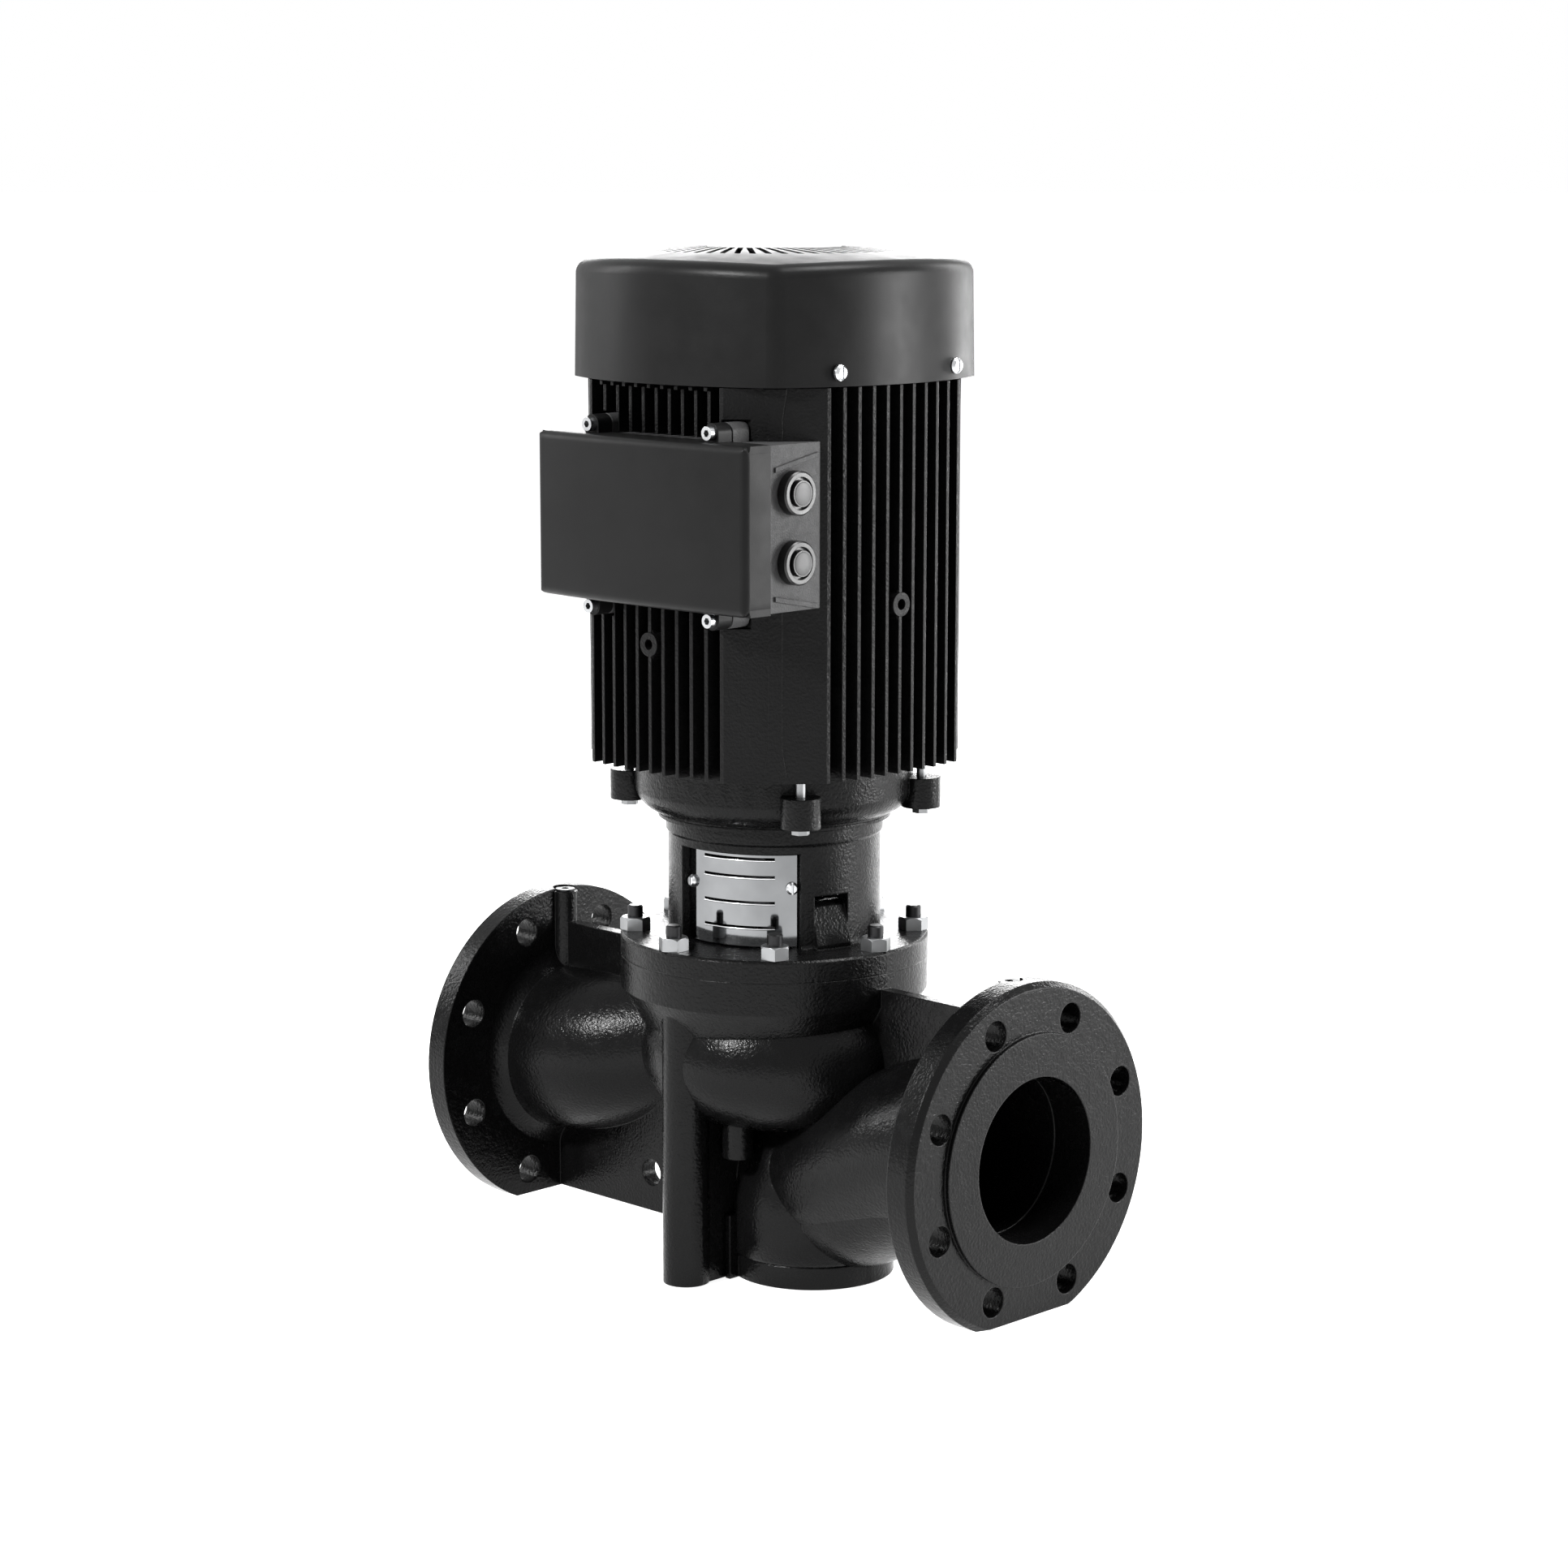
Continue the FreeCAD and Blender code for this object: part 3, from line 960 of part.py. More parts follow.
def fan_cover():
    outer = cover_shape("cover_outer", "0", "cover_high")
    inner = cover_shape("cover_inner", "cover_wall", "cover_high - cover_wall")
    slot = [("grille_core / 2", "-slot_wide / 2"), ("grille_dia / 2", "-slot_wide / 2 + 16"),
            ("grille_dia / 2", "slot_wide / 2 + 16"), ("grille_core / 2", "slot_wide / 2")]
    slots = fanned("grille_slots", slot, "dome_rise * 4", GRILLE_SLOTS, (0, 0, "cover_high - dome_rise * 3"))
    holes = []
    for side in (0, 180):
        for y in (-1, 1):
            spot = (f"{y} * cover_screw_side", "cover_screw_height")
            holes.append(cylinder("cover_hole", 2.8, 20, ("cover_reach - 15", *spot), "X", side))
            holes.append(cylinder("cover_seat", "cover_screw_head / 2 + 0.3", 20,
                                  ("cover_screw_seat", *spot), "X", side))
    return cut("fan_cover", outer, inner, slots, group("cover_holes", holes))


def cover_screws():
    screw = slotted_screw("cover_screw", 5, "cover_screw_head", 3.4, 12)
    places = []
    for side in (1, -1):
        for y in (-1, 1):
            places.append(((f"{side} * cover_screw_seat", f"{y} * cover_screw_side", "cover_screw_height"),
                           DIRECTIONS["X" if side > 0 else "-X"]))
    add(spread("cover_screws", screw, places))


# Terminal box on the frame, its lid and its fittings

def lid_screw_places():
    centre = "((box_right - box_left) / 2)"
    return [(f"{centre} + {side} * lid_screw_side", height)
            for side in (-1, 1)
            for height in ("box_low - lid_screw_rise", "box_high + lid_screw_rise")]


def terminal_box():
    front = "-box_front"
    case = block("box_block", ("-box_left", "box_right"), (front, "-box_back"),
                 ("box_low + 0.5", "box_high - 0.5"))
    ears = [cylinder("box_ear", 6, 14, (x, front, z), "Y") for x, z in lid_screw_places()]
    necks = [block("box_ear_neck", (f"{x} - 6", f"{x} + 6"), (front, "-box_front + 14"),
                   (z, f"{z} + 8") if "low" in z else (f"{z} - 8", z)) for x, z in lid_screw_places()]
    form = join("box_form", case, *ears, *necks)
    behind = envelope("box_frame_space", 0.1, "box_low - 30", "box_high + 30")
    seat = block("box_seat_side", ("-box_left * 2", "box_right * 2"), ("-box_seat", "fin_reach * 2"),
                 ("box_low - 40", "box_high + 40"))
    outside = cut("box_outside", form, overlap("box_seat_form", behind, seat))
    room = block("box_room_block", ("-box_left + box_wall", "box_right - box_wall"),
                 ("-box_front * 2", "-box_back + 1"), ("box_low + box_wall", "box_high - box_wall"))
    floor = overlap("box_floor", envelope("box_floor_space", "box_wall", "box_low - 30", "box_high + 30"),
                    block("box_floor_side", ("-box_left * 2", "box_right * 2"),
                          ("-box_seat - box_wall", "fin_reach * 2"), ("box_low - 40", "box_high + 40")))
    room = cut("box_room", room, floor)
    tools = [room, block("rib_notch", ("fin_reach - 4", "fin_reach + 6.4 + corner_rise + box_gap"),
                         ("-corner_rib / 2 - box_gap", "corner_rib / 2 + box_gap"),
                         ("box_low - 5", "box_high + 5"), -45)]
    for side in (-1, 1):
        height = f"{ENTRY_MIDDLE} + {side} * entry_spacing / 2"
        tools.append(cylinder("entry_hole", "entry_bore / 2", 30,
                              ("box_right - 15", "-entry_depth", height), "X"))
    tools.append(group("box_threads", [cylinder("box_thread", 2.5, 30, (x, "-box_front - 15", z), "Y")
                                       for x, z in lid_screw_places()]))
    bars = []
    for low, high in (("box_high - 17", "box_high - 9.5"), ("box_low + 7.5", "box_low + 0.5")):
        bars.append(raised("box_bar", "YZ_Plane", [
            ("-box_front + 5", low), ("-box_back - 7", high), ("-box_back - 7", f"{high} + 3"),
            ("-box_front + 5", f"{low} + 3")], 2.2, ("box_right - 1", 0, 0)))
    return join("terminal_box", cut("box_opened", outside, *tools), *bars)


def lid():
    """A pillow-shaped lid: two rounded outlines crossed, then hollowed."""
    left = "-(box_left + lid_edge)"
    right = "(box_right + lid_edge)"
    back = "-(box_front + box_gasket)"
    front = "-lid_front"
    width = "(box_right + box_left + lid_edge * 2 - lid_round * 2)"
    depth = "(box_high - box_low - lid_round * 2)"
    across = raised("lid_across", "XY_Plane", [
        (left, back), (left, f"{front} + lid_round", "lid_round"), (f"{left} + lid_round", front,
                                                                     f"{width} ^ 2 / 8 / lid_bulge"),
        (f"{right} - lid_round", front, "lid_round"), (right, f"{front} + lid_round"), (right, back)],
        "box_high - box_low", (0, 0, "box_low"))
    upright = raised("lid_upright", "YZ_Plane", [
        (back, "box_low"), (back, "box_high"), (f"{front} + lid_round", "box_high", "-lid_round"),
        (f"{front} - lid_bulge / 2", "box_high - lid_round", f"-{depth} ^ 2 / 4 / lid_bulge"),
        (f"{front} - lid_bulge / 2", "box_low + lid_round", "-lid_round"),
        (f"{front} + lid_round", "box_low")],
        f"{right} - ({left})", (left, 0, 0))
    form = overlap("lid_form", across, upright)
    ears = [cylinder("lid_ear", 6, 11, (x, back, z), "-Y") for x, z in lid_screw_places()]
    necks = [block("lid_ear_neck", (f"{x} - 6", f"{x} + 6"), (f"{back} - 11", back),
                   (z, f"{z} + 8") if "low" in z else (f"{z} - 8", z)) for x, z in lid_screw_places()]
    room = block("lid_room", (f"{left} + lid_wall + 2", f"{right} - lid_wall - 2"),
                 (f"{front} + lid_wall", f"{back} + 5"),
                 ("box_low + lid_wall + 1", "box_high - lid_wall - 1"))
    holes = group("lid_holes", [cylinder("lid_hole", 2.8, 60, (x, "-box_front + 20", z), "-Y")
                                for x, z in lid_screw_places()])
    return cut("terminal_lid", join("lid_with_ears", form, *ears, *necks), room, holes)


def box_fittings():
    back = "-(box_front + box_gasket)"
    sheet_form = block("gasket_sheet", ("-box_left + 0.5", "box_right - 0.5"), (back, "-box_front"),
                       ("box_low + 1", "box_high - 1"))
    window = block("gasket_window", ("-box_left + box_wall", "box_right - box_wall"),
                   ("-box_front * 2", 0), ("box_low + box_wall", "box_high - box_wall"))
    add(cut("box_gasket", sheet_form, window))
    screw = socket_plug("lid_screw", 5, 20, 8.5, 4.5, 4)
    add(spread("lid_screws", screw, [((x, f"{back} - 11", z), DIRECTIONS["-Y"])
                                     for x, z in lid_screw_places()]))
    plug = turned("cable_plug", [
        (0, -9), ("entry_bore / 2", -9), ("entry_bore / 2", 0), ("entry_dia / 2", 0),
        ("entry_dia / 2", 6), ("entry_dia / 2 - 1", 7), ("entry_bore / 2 + 2", 7),
        ("entry_bore / 2 + 2", 4.5), ("entry_bore / 2", 4.5), ("entry_bore / 2", 8.5), (0, 8.5)])
    add(spread("cable_plugs", plug, [
        (("box_right", "-entry_depth", f"{ENTRY_MIDDLE} + {side} * entry_spacing / 2"), DIRECTIONS["X"])
        for side in (-1, 1)]))
    floor = "-(box_seat + box_wall)"
    add(block("terminal_block", (-34, 34), (f"{floor} - 13", floor), ("box_low + 26", "box_high - 26")))
    post = join("terminal_post", cylinder("post_stud", 2.5, 14, (0, 0, 0)),
                hexagon("post_nut", 8, 4, (0, 0, 3)), cylinder("post_washer", 5, 1.2, (0, 0, 0)))
    middle = "(box_low + box_high) / 2"
    add(spread("terminal_posts", post, [((x, f"{floor} - 13", f"{middle} + {z}"), DIRECTIONS["-Y"])
                                        for x in (-20, 0, 20) for z in (-12, 12)]))


add(pump_housing())
housing_fittings()
head_fasteners()
add(motor_stool())
guards()
pump_rotor()
coupling()
motor_rotor()
bearings()
drive_end_shield()
fan_end_shield()
add(stator_frame())
fan()
add(fan_cover())
cover_screws()
add(terminal_box())
add(lid())
box_fittings()

doc.recompute()
for item in doc.Objects:
    if "Invalid" in item.State or "Error" in item.State:
        raise RuntimeError(f"{item.Name} failed: {item.State}")
for item in NODES:
    if item.Shape.isNull() or not item.Shape.isValid():
        raise RuntimeError(f"{item.Label} is not a valid shape")
    item.Shape.exportStep(f"parts/{item.Label}.step")
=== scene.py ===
import math

import bpy
from mathutils import Matrix, Vector


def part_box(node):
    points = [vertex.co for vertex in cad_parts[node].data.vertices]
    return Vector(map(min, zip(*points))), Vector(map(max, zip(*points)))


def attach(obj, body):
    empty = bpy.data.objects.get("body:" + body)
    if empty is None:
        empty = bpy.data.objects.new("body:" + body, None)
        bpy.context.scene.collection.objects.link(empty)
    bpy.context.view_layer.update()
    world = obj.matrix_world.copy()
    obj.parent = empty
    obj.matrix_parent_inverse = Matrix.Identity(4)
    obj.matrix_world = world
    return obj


# In-line circulator pump with a finned motor, black paint on rough castings.
# Lengths are in metres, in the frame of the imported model.

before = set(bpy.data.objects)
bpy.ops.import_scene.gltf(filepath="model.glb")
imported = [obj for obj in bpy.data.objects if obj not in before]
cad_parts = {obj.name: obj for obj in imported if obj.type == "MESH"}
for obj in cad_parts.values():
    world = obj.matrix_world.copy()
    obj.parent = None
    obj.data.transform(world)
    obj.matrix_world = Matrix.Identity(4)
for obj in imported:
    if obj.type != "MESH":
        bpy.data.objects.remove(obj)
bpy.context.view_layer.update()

PHOTO_SIDE = 1932
SENSOR = 36.0

PORT_HEIGHT = 0.108

# The camera, as fitted to the two flanges, one's holes, the head flange, the neck and the motor's
# upright edges, with the port faces held 450 mm apart
CAMERA_TURN = 44.641
CAMERA_RISE = 9.811
CAMERA_ROLL = 0.052
CAMERA_DISTANCE = 2.4392
CAMERA_ASIDE = 0.00636
CAMERA_UP = 0.20303
CAMERA_FOCUS = 4603.9
PORT_AXIS = Vector((0.0, 0.0, PORT_HEIGHT))

# Tones, in linear light
BLACK = (0.0036, 0.0036, 0.0037)
BLACK_COVER = (0.0062, 0.0062, 0.0063)
BOX_GREY = (0.066, 0.066, 0.067)
PAINT_GLOSS = 0.12
ZINC = (0.27, 0.275, 0.28)
WHITE = (0.90, 0.90, 0.90)

# The part of its range that a noise really fills
NOISE_SPAN = (0.3, 0.7)

# The housing's own sizes, where the scene fits a piece over it
VOLUTE_START = 120
VOLUTE_SWEEP = 330
VOLUTE_HEIGHT = 0.140
VOLUTE_REACH = (0.068, 0.116)
BOWL_REACH = 0.076
EYE_REACH = 0.037
FOOT_OFFSET = 0.035

# The fuller volute: its reach at the tongue, its tube, and what the tube and the height gain in the middle
FULL_REACH = 0.075
TUBE_THIN = 0.0296
TUBE_GROWTH = 0.010
TUBE_GAIN = 0.0104
TUBE_GAIN_LOSS = 0.004
HEIGHT_GAIN = 0.003

# The pot of the suction elbow: its reach, the shoulder it rounds over to, and its crown inside the bowl
POT_FOOT = (0.0525, 0.0145)
POT_REACH = 0.0550
POT_WALL = (0.0170, 0.0400, 0.0560)
POT_SHOULDER = (0.0505, 0.0670)
POT_CROWN = (0.0380, 0.1040)

# The suction branch: where it starts, its run and its fall to the elbow, and its reach at either end
BRANCH_START = 0.214
BRANCH_RUN = 0.189
BRANCH_FALL = 0.054
BRANCH_REACH = (0.059, 0.046)
BRANCH_COURSE = ((0.0317, 0.0, 0.0), (0.16, 0.11, 0.346), (0.34, 0.39, 0.708),
                 (0.50, 0.67, 0.908), (0.65, 0.92, 0.985), (0.80, 1.0, 1.0))

# The lid of the terminal box, by its lowest and highest corner across the face
LID_LOW = (-0.0802, 0.4418)
LID_HIGH = (0.1042, 0.5442)
LID_FRONT = 0.1302
LID_BACK = -0.1085
LID_CROWN = 0.0039
LID_ROUND = 0.0050
LID_CORNER = 0.0060

# The middles of the two cable plugs, and the profile of a disc from its rim to its middle
PLUG_DEPTH = -0.086
PLUG_HEIGHTS = (0.472, 0.514)
DISC_PROFILE = ((0.0074, -0.0004), (0.0072, 0.0001), (0.0066, 0.0003), (0.0030, 0.0005), (0.0, 0.0005))

# The coupling guards and their slits
GUARD_TURNS = (("front", -67.5), ("rear", 112.5))
GUARD_REACH = 0.0625
SLIT_TOP = 0.2805
SLIT_WIDE = 0.0022
SLIT_HALF = 22.6
SLIT_DROPS = (0.0030, 0.0145, 0.0310, 0.0470)
LIP_PROFILE = ((0.0, -0.0004), (0.0005, -0.0002), (0.0007, 0.0002), (0.0005, 0.0006), (-0.0002, 0.0009))

# The studio: the middle of the lit object, the floor's own white and the light from all round
LIT_POINT = Vector((0.0, 0.0, 0.32))
FLOOR_SIDE = 60.0
FLOOR_GAP = 0.0005
FLOOR_GLOW = 0.92
ROOM_LIGHT = 0.10


def aim_camera():
    data = bpy.data.cameras.new("camera")
    data.sensor_width = SENSOR
    data.lens = CAMERA_FOCUS / PHOTO_SIDE * SENSOR
    data.clip_end = 50.0
    camera = bpy.data.objects.new("camera", data)
    bpy.context.scene.collection.objects.link(camera)
    turn = math.radians(CAMERA_TURN)
    rise = math.radians(CAMERA_RISE)
    back = Vector((math.sin(turn) * math.cos(rise), -math.cos(turn) * math.cos(rise), math.sin(rise)))
    right = Vector((math.cos(turn), math.sin(turn), 0.0))
    roll = Matrix.Rotation(math.radians(CAMERA_ROLL), 3, back)
    right = roll @ right
    up = back.cross(right)
    place = PORT_AXIS + right * CAMERA_ASIDE + up * CAMERA_UP + back * CAMERA_DISTANCE
    camera.matrix_world = Matrix.Translation(place) @ Matrix((right, up, back)).transposed().to_4x4()
    bpy.context.scene.camera = camera


class Shader:
    """A node material that is built up from its principled shader."""

    def __init__(self, name, colour, roughness, metallic=0.0, specular=0.5):
        self.material = bpy.data.materials.new(name)
        self.material.use_nodes = True
        self.tree = self.material.node_tree
        self.surface = self.tree.nodes["Principled BSDF"]
        self.surface.inputs["Base Color"].default_value = (*colour, 1.0)
        self.surface.inputs["Roughness"].default_value = roughness
        self.surface.inputs["Metallic"].default_value = metallic
        self.surface.inputs["Specular IOR Level"].default_value = specular
        self.place = self.add("ShaderNodeTexCoord").outputs["Object"]
        self.normal = None

    def add(self, kind, **settings):
        node = self.tree.nodes.new(kind)
        for name, setting in settings.items():
            if hasattr(node, name):
                setattr(node, name, setting)
            else:
                node.inputs[name].default_value = setting
        return node

    def link(self, source, target):
        self.tree.links.new(source, target)

    def noise(self, scale, detail=3.0, stretch=None):
        """Noise of a given number of grains to the metre."""
        source = self.place
        if stretch:
            mapping = self.add("ShaderNodeMapping")
            mapping.inputs["Scale"].default_value = stretch
            self.link(self.place, mapping.inputs["Vector"])
            source = mapping.outputs["Vector"]
        texture = self.add("ShaderNodeTexNoise", Scale=scale, Detail=detail)
        self.link(source, texture.inputs["Vector"])
        return texture.outputs["Fac"]

    def spread(self, source, low, high):
        """A noise stretched to run between two values."""
        span = self.add("ShaderNodeMapRange")
        span.inputs["From Min"].default_value = NOISE_SPAN[0]
        span.inputs["From Max"].default_value = NOISE_SPAN[1]
        span.inputs["To Min"].default_value = low
        span.inputs["To Max"].default_value = high
        self.link(source, span.inputs["Value"])
        return span.outputs["Result"]

    def rounded(self, radius):
        """Edges catch the light as if they had a small radius."""
        bevel = self.add("ShaderNodeBevel", samples=6, Radius=radius)
        self.normal = bevel.outputs["Normal"]
        self.link(self.normal, self.surface.inputs["Normal"])

    def bump(self, source, height):
        node = self.add("ShaderNodeBump", Strength=1.0, Distance=height)
        self.link(source, node.inputs["Height"])
        if self.normal:
            self.link(self.normal, node.inputs["Normal"])
        self.normal = node.outputs["Normal"]
        self.link(self.normal, self.surface.inputs["Normal"])

    def vary_roughness(self, source, low, high):
        self.link(self.spread(source, low, high), self.surface.inputs["Roughness"])

    def vary_colour(self, source, dark, light):
        mix = self.add("ShaderNodeMix", data_type="RGBA")
        for name, tone in (("A", dark), ("B", light)):
            sockets = [socket for socket in mix.inputs if socket.name == name and socket.type == "RGBA"]
            sockets[0].default_value = (*tone, 1.0)
        self.link(self.spread(source, 0.0, 1.0), mix.inputs["Factor"])
        result = [socket for socket in mix.outputs if socket.type == "RGBA"][0]
        self.link(result, self.surface.inputs["Base Color"])


def shade(tone, factor):
    return tuple(channel * factor for channel in tone)


def cast_paint(name, tone, grain, depth, roughness, edge):
    """Paint over sand-cast iron: an even coarse grain, softened at the edges."""
    shader = Shader(name, tone, roughness, specular=PAINT_GLOSS)
    shader.rounded(edge)
    shader.bump(shader.noise(grain * 0.15, 1.0), depth * 0.5)
    shader.bump(shader.noise(grain, 2.0), depth)
    shader.vary_roughness(shader.noise(grain * 0.3, 4.0), roughness - 0.07, roughness + 0.09)
    shader.vary_colour(shader.noise(9.0, 5.0), shade(tone, 0.75), shade(tone, 1.35))
    return shader.material


def sheet_paint(name, tone, roughness):
    """Powder coat on pressed sheet: a fine orange peel."""
    shader = Shader(name, tone, roughness, specular=PAINT_GLOSS)
    shader.bump(shader.noise(1500.0, 2.0), 0.00003)
    shader.vary_roughness(shader.noise(60.0, 4.0), roughness - 0.03, roughness + 0.05)
    shader.vary_colour(shader.noise(14.0, 4.0), shade(tone, 0.85), shade(tone, 1.2))
    return shader.material


def plain_metal(name, tone, roughness, grain=900.0, depth=0.00002, edge=0.0003, stretch=None):
    shader = Shader(name, tone, roughness, metallic=1.0)
    if edge:
        shader.rounded(edge)
    shader.bump(shader.noise(grain, 3.0, stretch), depth)
    shader.vary_roughness(shader.noise(grain * 0.1, 4.0), roughness - 0.06, roughness + 0.1)
    shader.vary_colour(shader.noise(40.0, 4.0), shade(tone, 0.85), shade(tone, 1.08))
    return shader.material


def moulded(name, tone, roughness):
    shader = Shader(name, tone, roughness, specular=0.45)
    shader.rounded(0.0004)
    shader.bump(shader.noise(1800.0, 2.0), 0.00003)
    shader.vary_roughness(shader.noise(80.0, 4.0), roughness - 0.05, roughness + 0.06)
    shader.vary_colour(shader.noise(30.0, 3.0), shade(tone, 0.85), shade(tone, 1.15))
    return shader.material


HOUSING_PAINT = cast_paint("housing_paint", BLACK, 520.0, 0.00034, 0.21, 0.0012)
STOOL_PAINT = cast_paint("stool_paint", BLACK, 560.0, 0.00038, 0.24, 0.0012)
FRAME_PAINT = cast_paint("frame_paint", BLACK, 600.0, 0.00045, 0.36, 0.0006)
BOX_PAINT = cast_paint("box_paint", BOX_GREY, 900.0, 0.00030, 0.40, 0.0007)
COVER_PAINT = sheet_paint("cover_paint", BLACK_COVER, 0.36)
LID_PAINT = sheet_paint("lid_paint", BLACK_COVER, 0.40)
NUT_ZINC = plain_metal("nut_zinc", ZINC, 0.36)
SCREW_ZINC = plain_metal("screw_zinc", (0.56, 0.57, 0.58), 0.28)
STUD_STEEL = plain_metal("stud_black", (0.03, 0.03, 0.031), 0.38)
# Slit lips: a bright steel tone, a painted highlight for the light their edges catch
LIP_STEEL_PAINTED_HIGHLIGHT = plain_metal("lip_steel_painted_highlight", (0.78, 0.79, 0.80), 0.16, 200.0, 0.00002, 0)
# Guard sheet: a darkened steel tone, a painted reflection of dark surroundings
MIRROR_SHEET_PAINTED_DARK_REFLECTION = plain_metal("mirror_sheet_painted_dark_reflection", (0.17, 0.174, 0.178), 0.08, 25.0, 0.00002, 0)
GROUND_STEEL = plain_metal("ground_steel", (0.55, 0.55, 0.56), 0.28, 700.0, 0.00002, 0.0003, (1, 1, 12))
GREY_IRON = plain_metal("grey_iron", (0.23, 0.23, 0.24), 0.52, 500.0, 0.0001)
CORE_STEEL = plain_metal("core_sheets", (0.32, 0.33, 0.35), 0.45, 60.0, 0.0001, 0, (0.2, 0.2, 30))
ALUMINIUM = plain_metal("cast_aluminium", (0.62, 0.63, 0.64), 0.42, 500.0, 0.00008)
COPPER = plain_metal("wound_copper", (0.60, 0.27, 0.14), 0.36, 300.0, 0.0004, 0, (1, 1, 4))
BRONZE = plain_metal("bronze", (0.52, 0.35, 0.17), 0.33)
BLACK_PLASTIC = moulded("black_plastic", (0.005, 0.005, 0.0052), 0.34)
PLUG_GREY = moulded("plug_grey", (0.075, 0.075, 0.076), 0.45)
GREY_PLASTIC = moulded("grey_plastic", (0.05, 0.05, 0.052), 0.48)
RUBBER = moulded("rubber", (0.020, 0.020, 0.020), 0.62)
CERAMIC = moulded("lapped_ceramic", (0.62, 0.60, 0.54), 0.2)
CARBON = moulded("lapped_carbon", (0.03, 0.03, 0.032), 0.25)

FINISHES = {
    HOUSING_PAINT: ["pump_housing"],
    STOOL_PAINT: ["motor_stool", "drive_end_shield", "fan_end_shield"],
    FRAME_PAINT: ["stator_frame"],
    BOX_PAINT: ["terminal_box"],
    COVER_PAINT: ["fan_cover"],
    LID_PAINT: ["terminal_lid"],
    NUT_ZINC: ["head_nuts", "shield_bolts", "stool_bolts", "drain_plug"],
    SCREW_ZINC: ["guard_screws", "cover_screws", "lid_screws", "coupling_screws", "wave_spring", "fan_clip"],
    STUD_STEEL: ["head_studs", "gauge_plugs"],
    MIRROR_SHEET_PAINTED_DARK_REFLECTION: ["coupling_guard_front", "coupling_guard_rear"],
    GROUND_STEEL: ["motor_shaft", "pump_shaft", "impeller_nut", "lower_bearing_outer_race",
                   "lower_bearing_inner_race", "upper_bearing_outer_race", "upper_bearing_inner_race",
                   "lower_bearing_balls", "upper_bearing_balls"],
    GREY_IRON: ["impeller", "coupling_half_front", "coupling_half_rear"],
    CORE_STEEL: ["stator_core", "rotor_core"],
    ALUMINIUM: ["rotor_end_rings"],
    COPPER: ["stator_windings"],
    BRONZE: ["wear_ring", "terminal_posts"],
    BLACK_PLASTIC: ["fan", "cable_plugs"],
    GREY_PLASTIC: ["terminal_block"],
    RUBBER: ["head_gasket", "seal_bellows", "box_gasket", "shaft_slinger"],
    CERAMIC: ["seal_seat"],
    CARBON: ["seal_head"],
}


def dress_nodes():
    for material, names in FINISHES.items():
        for name in names:
            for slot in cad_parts[name].material_slots:
                slot.material = material


# Pieces of the scene

def sheet_piece(name, rows, material, closed=False):
    """A smooth surface through rows of points, each row as long as the next."""
    points = [point for row in rows for point in row]
    width = len(rows[0])
    faces = []
    for row in range(len(rows) - 1):
        for column in range(width if closed else width - 1):
            after = (column + 1) % width
            faces.append((row * width + column, row * width + after,
                          (row + 1) * width + after, (row + 1) * width + column))
    mesh = bpy.data.meshes.new(name)
    mesh.from_pydata(points, [], faces)
    mesh.validate()
    mesh.shade_smooth()
    mesh.materials.append(material)
    piece = bpy.data.objects.new(name, mesh)
    bpy.context.scene.collection.objects.link(piece)
    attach(piece, "pump")


def polar(radius, angle, height):
    return (radius * math.cos(angle), radius * math.sin(angle), height)


def swell(share):
    """From none to full and back to none along the volute, smooth at both ends."""
    rise = min(1.0, max(0.0, (share - 0.08) / 0.22))
    fall = min(1.0, max(0.0, (0.95 - share) / 0.2))
    return (rise * rise * (3 - 2 * rise)) * (fall * fall * (3 - 2 * fall))


def volute_belly():
    """The fuller front of the spiral, with the crease under the head that the casting shows."""
    rows = []
    for step in range(81):
        share = 0.06 + 0.9 * step / 80
        full = swell(share)
        tube = TUBE_THIN + TUBE_GROWTH * share + (TUBE_GAIN - TUBE_GAIN_LOSS * share) * full
        plain = VOLUTE_REACH[0] * (VOLUTE_REACH[1] / VOLUTE_REACH[0]) ** share
        reach = plain + (FULL_REACH * (VOLUTE_REACH[1] / FULL_REACH) ** share - plain) * full
        middle = reach - tube
        height = VOLUTE_HEIGHT + HEIGHT_GAIN * full
        top = math.acos(min(1.0, max(-1.0, (BOWL_REACH - middle) / tube)))
        bottom = math.acos(min(1.0, max(-1.0, (EYE_REACH - middle) / tube)))
        angle = math.radians(VOLUTE_START + VOLUTE_SWEEP * share)
        row = []
        for rib in range(33):
            tilt = -bottom + (top + bottom) * rib / 32
            row.append(polar(middle + tube * math.cos(tilt), angle, height + tube * math.sin(tilt)))
        rows.append(row)
    sheet_piece("volute_belly", rows, HOUSING_PAINT)


def elbow_pot():
    """The round pot of the suction elbow that stands on the foot ring."""
    outline = [POT_FOOT, (POT_REACH, POT_WALL[0])]
    for step in range(13):
        share = step / 12
        along = (1 - share) ** 2, 2 * share * (1 - share), share ** 2
        outline.append((along[0] * POT_REACH + along[1] * POT_REACH + along[2] * POT_SHOULDER[0],
                        along[0] * POT_WALL[1] + along[1] * POT_WALL[2] + along[2] * POT_SHOULDER[1]))
    outline += [POT_CROWN, (0.0, POT_CROWN[1])]
    rows = []
    for radius, height in outline:
        ring = [polar(radius, 2 * math.pi * step / 96, height) for step in range(96)]
        rows.append([(x + FOOT_OFFSET, y, z) for x, y, z in ring])
    sheet_piece("elbow_pot", rows, HOUSING_PAINT, closed=True)


def catmull(share, values):
    before, start, end, after = values
    return 0.5 * (2 * start + (end - before) * share
                  + (2 * before - 5 * start + 4 * end - after) * share ** 2
                  + (3 * start - before - 3 * end + after) * share ** 3)


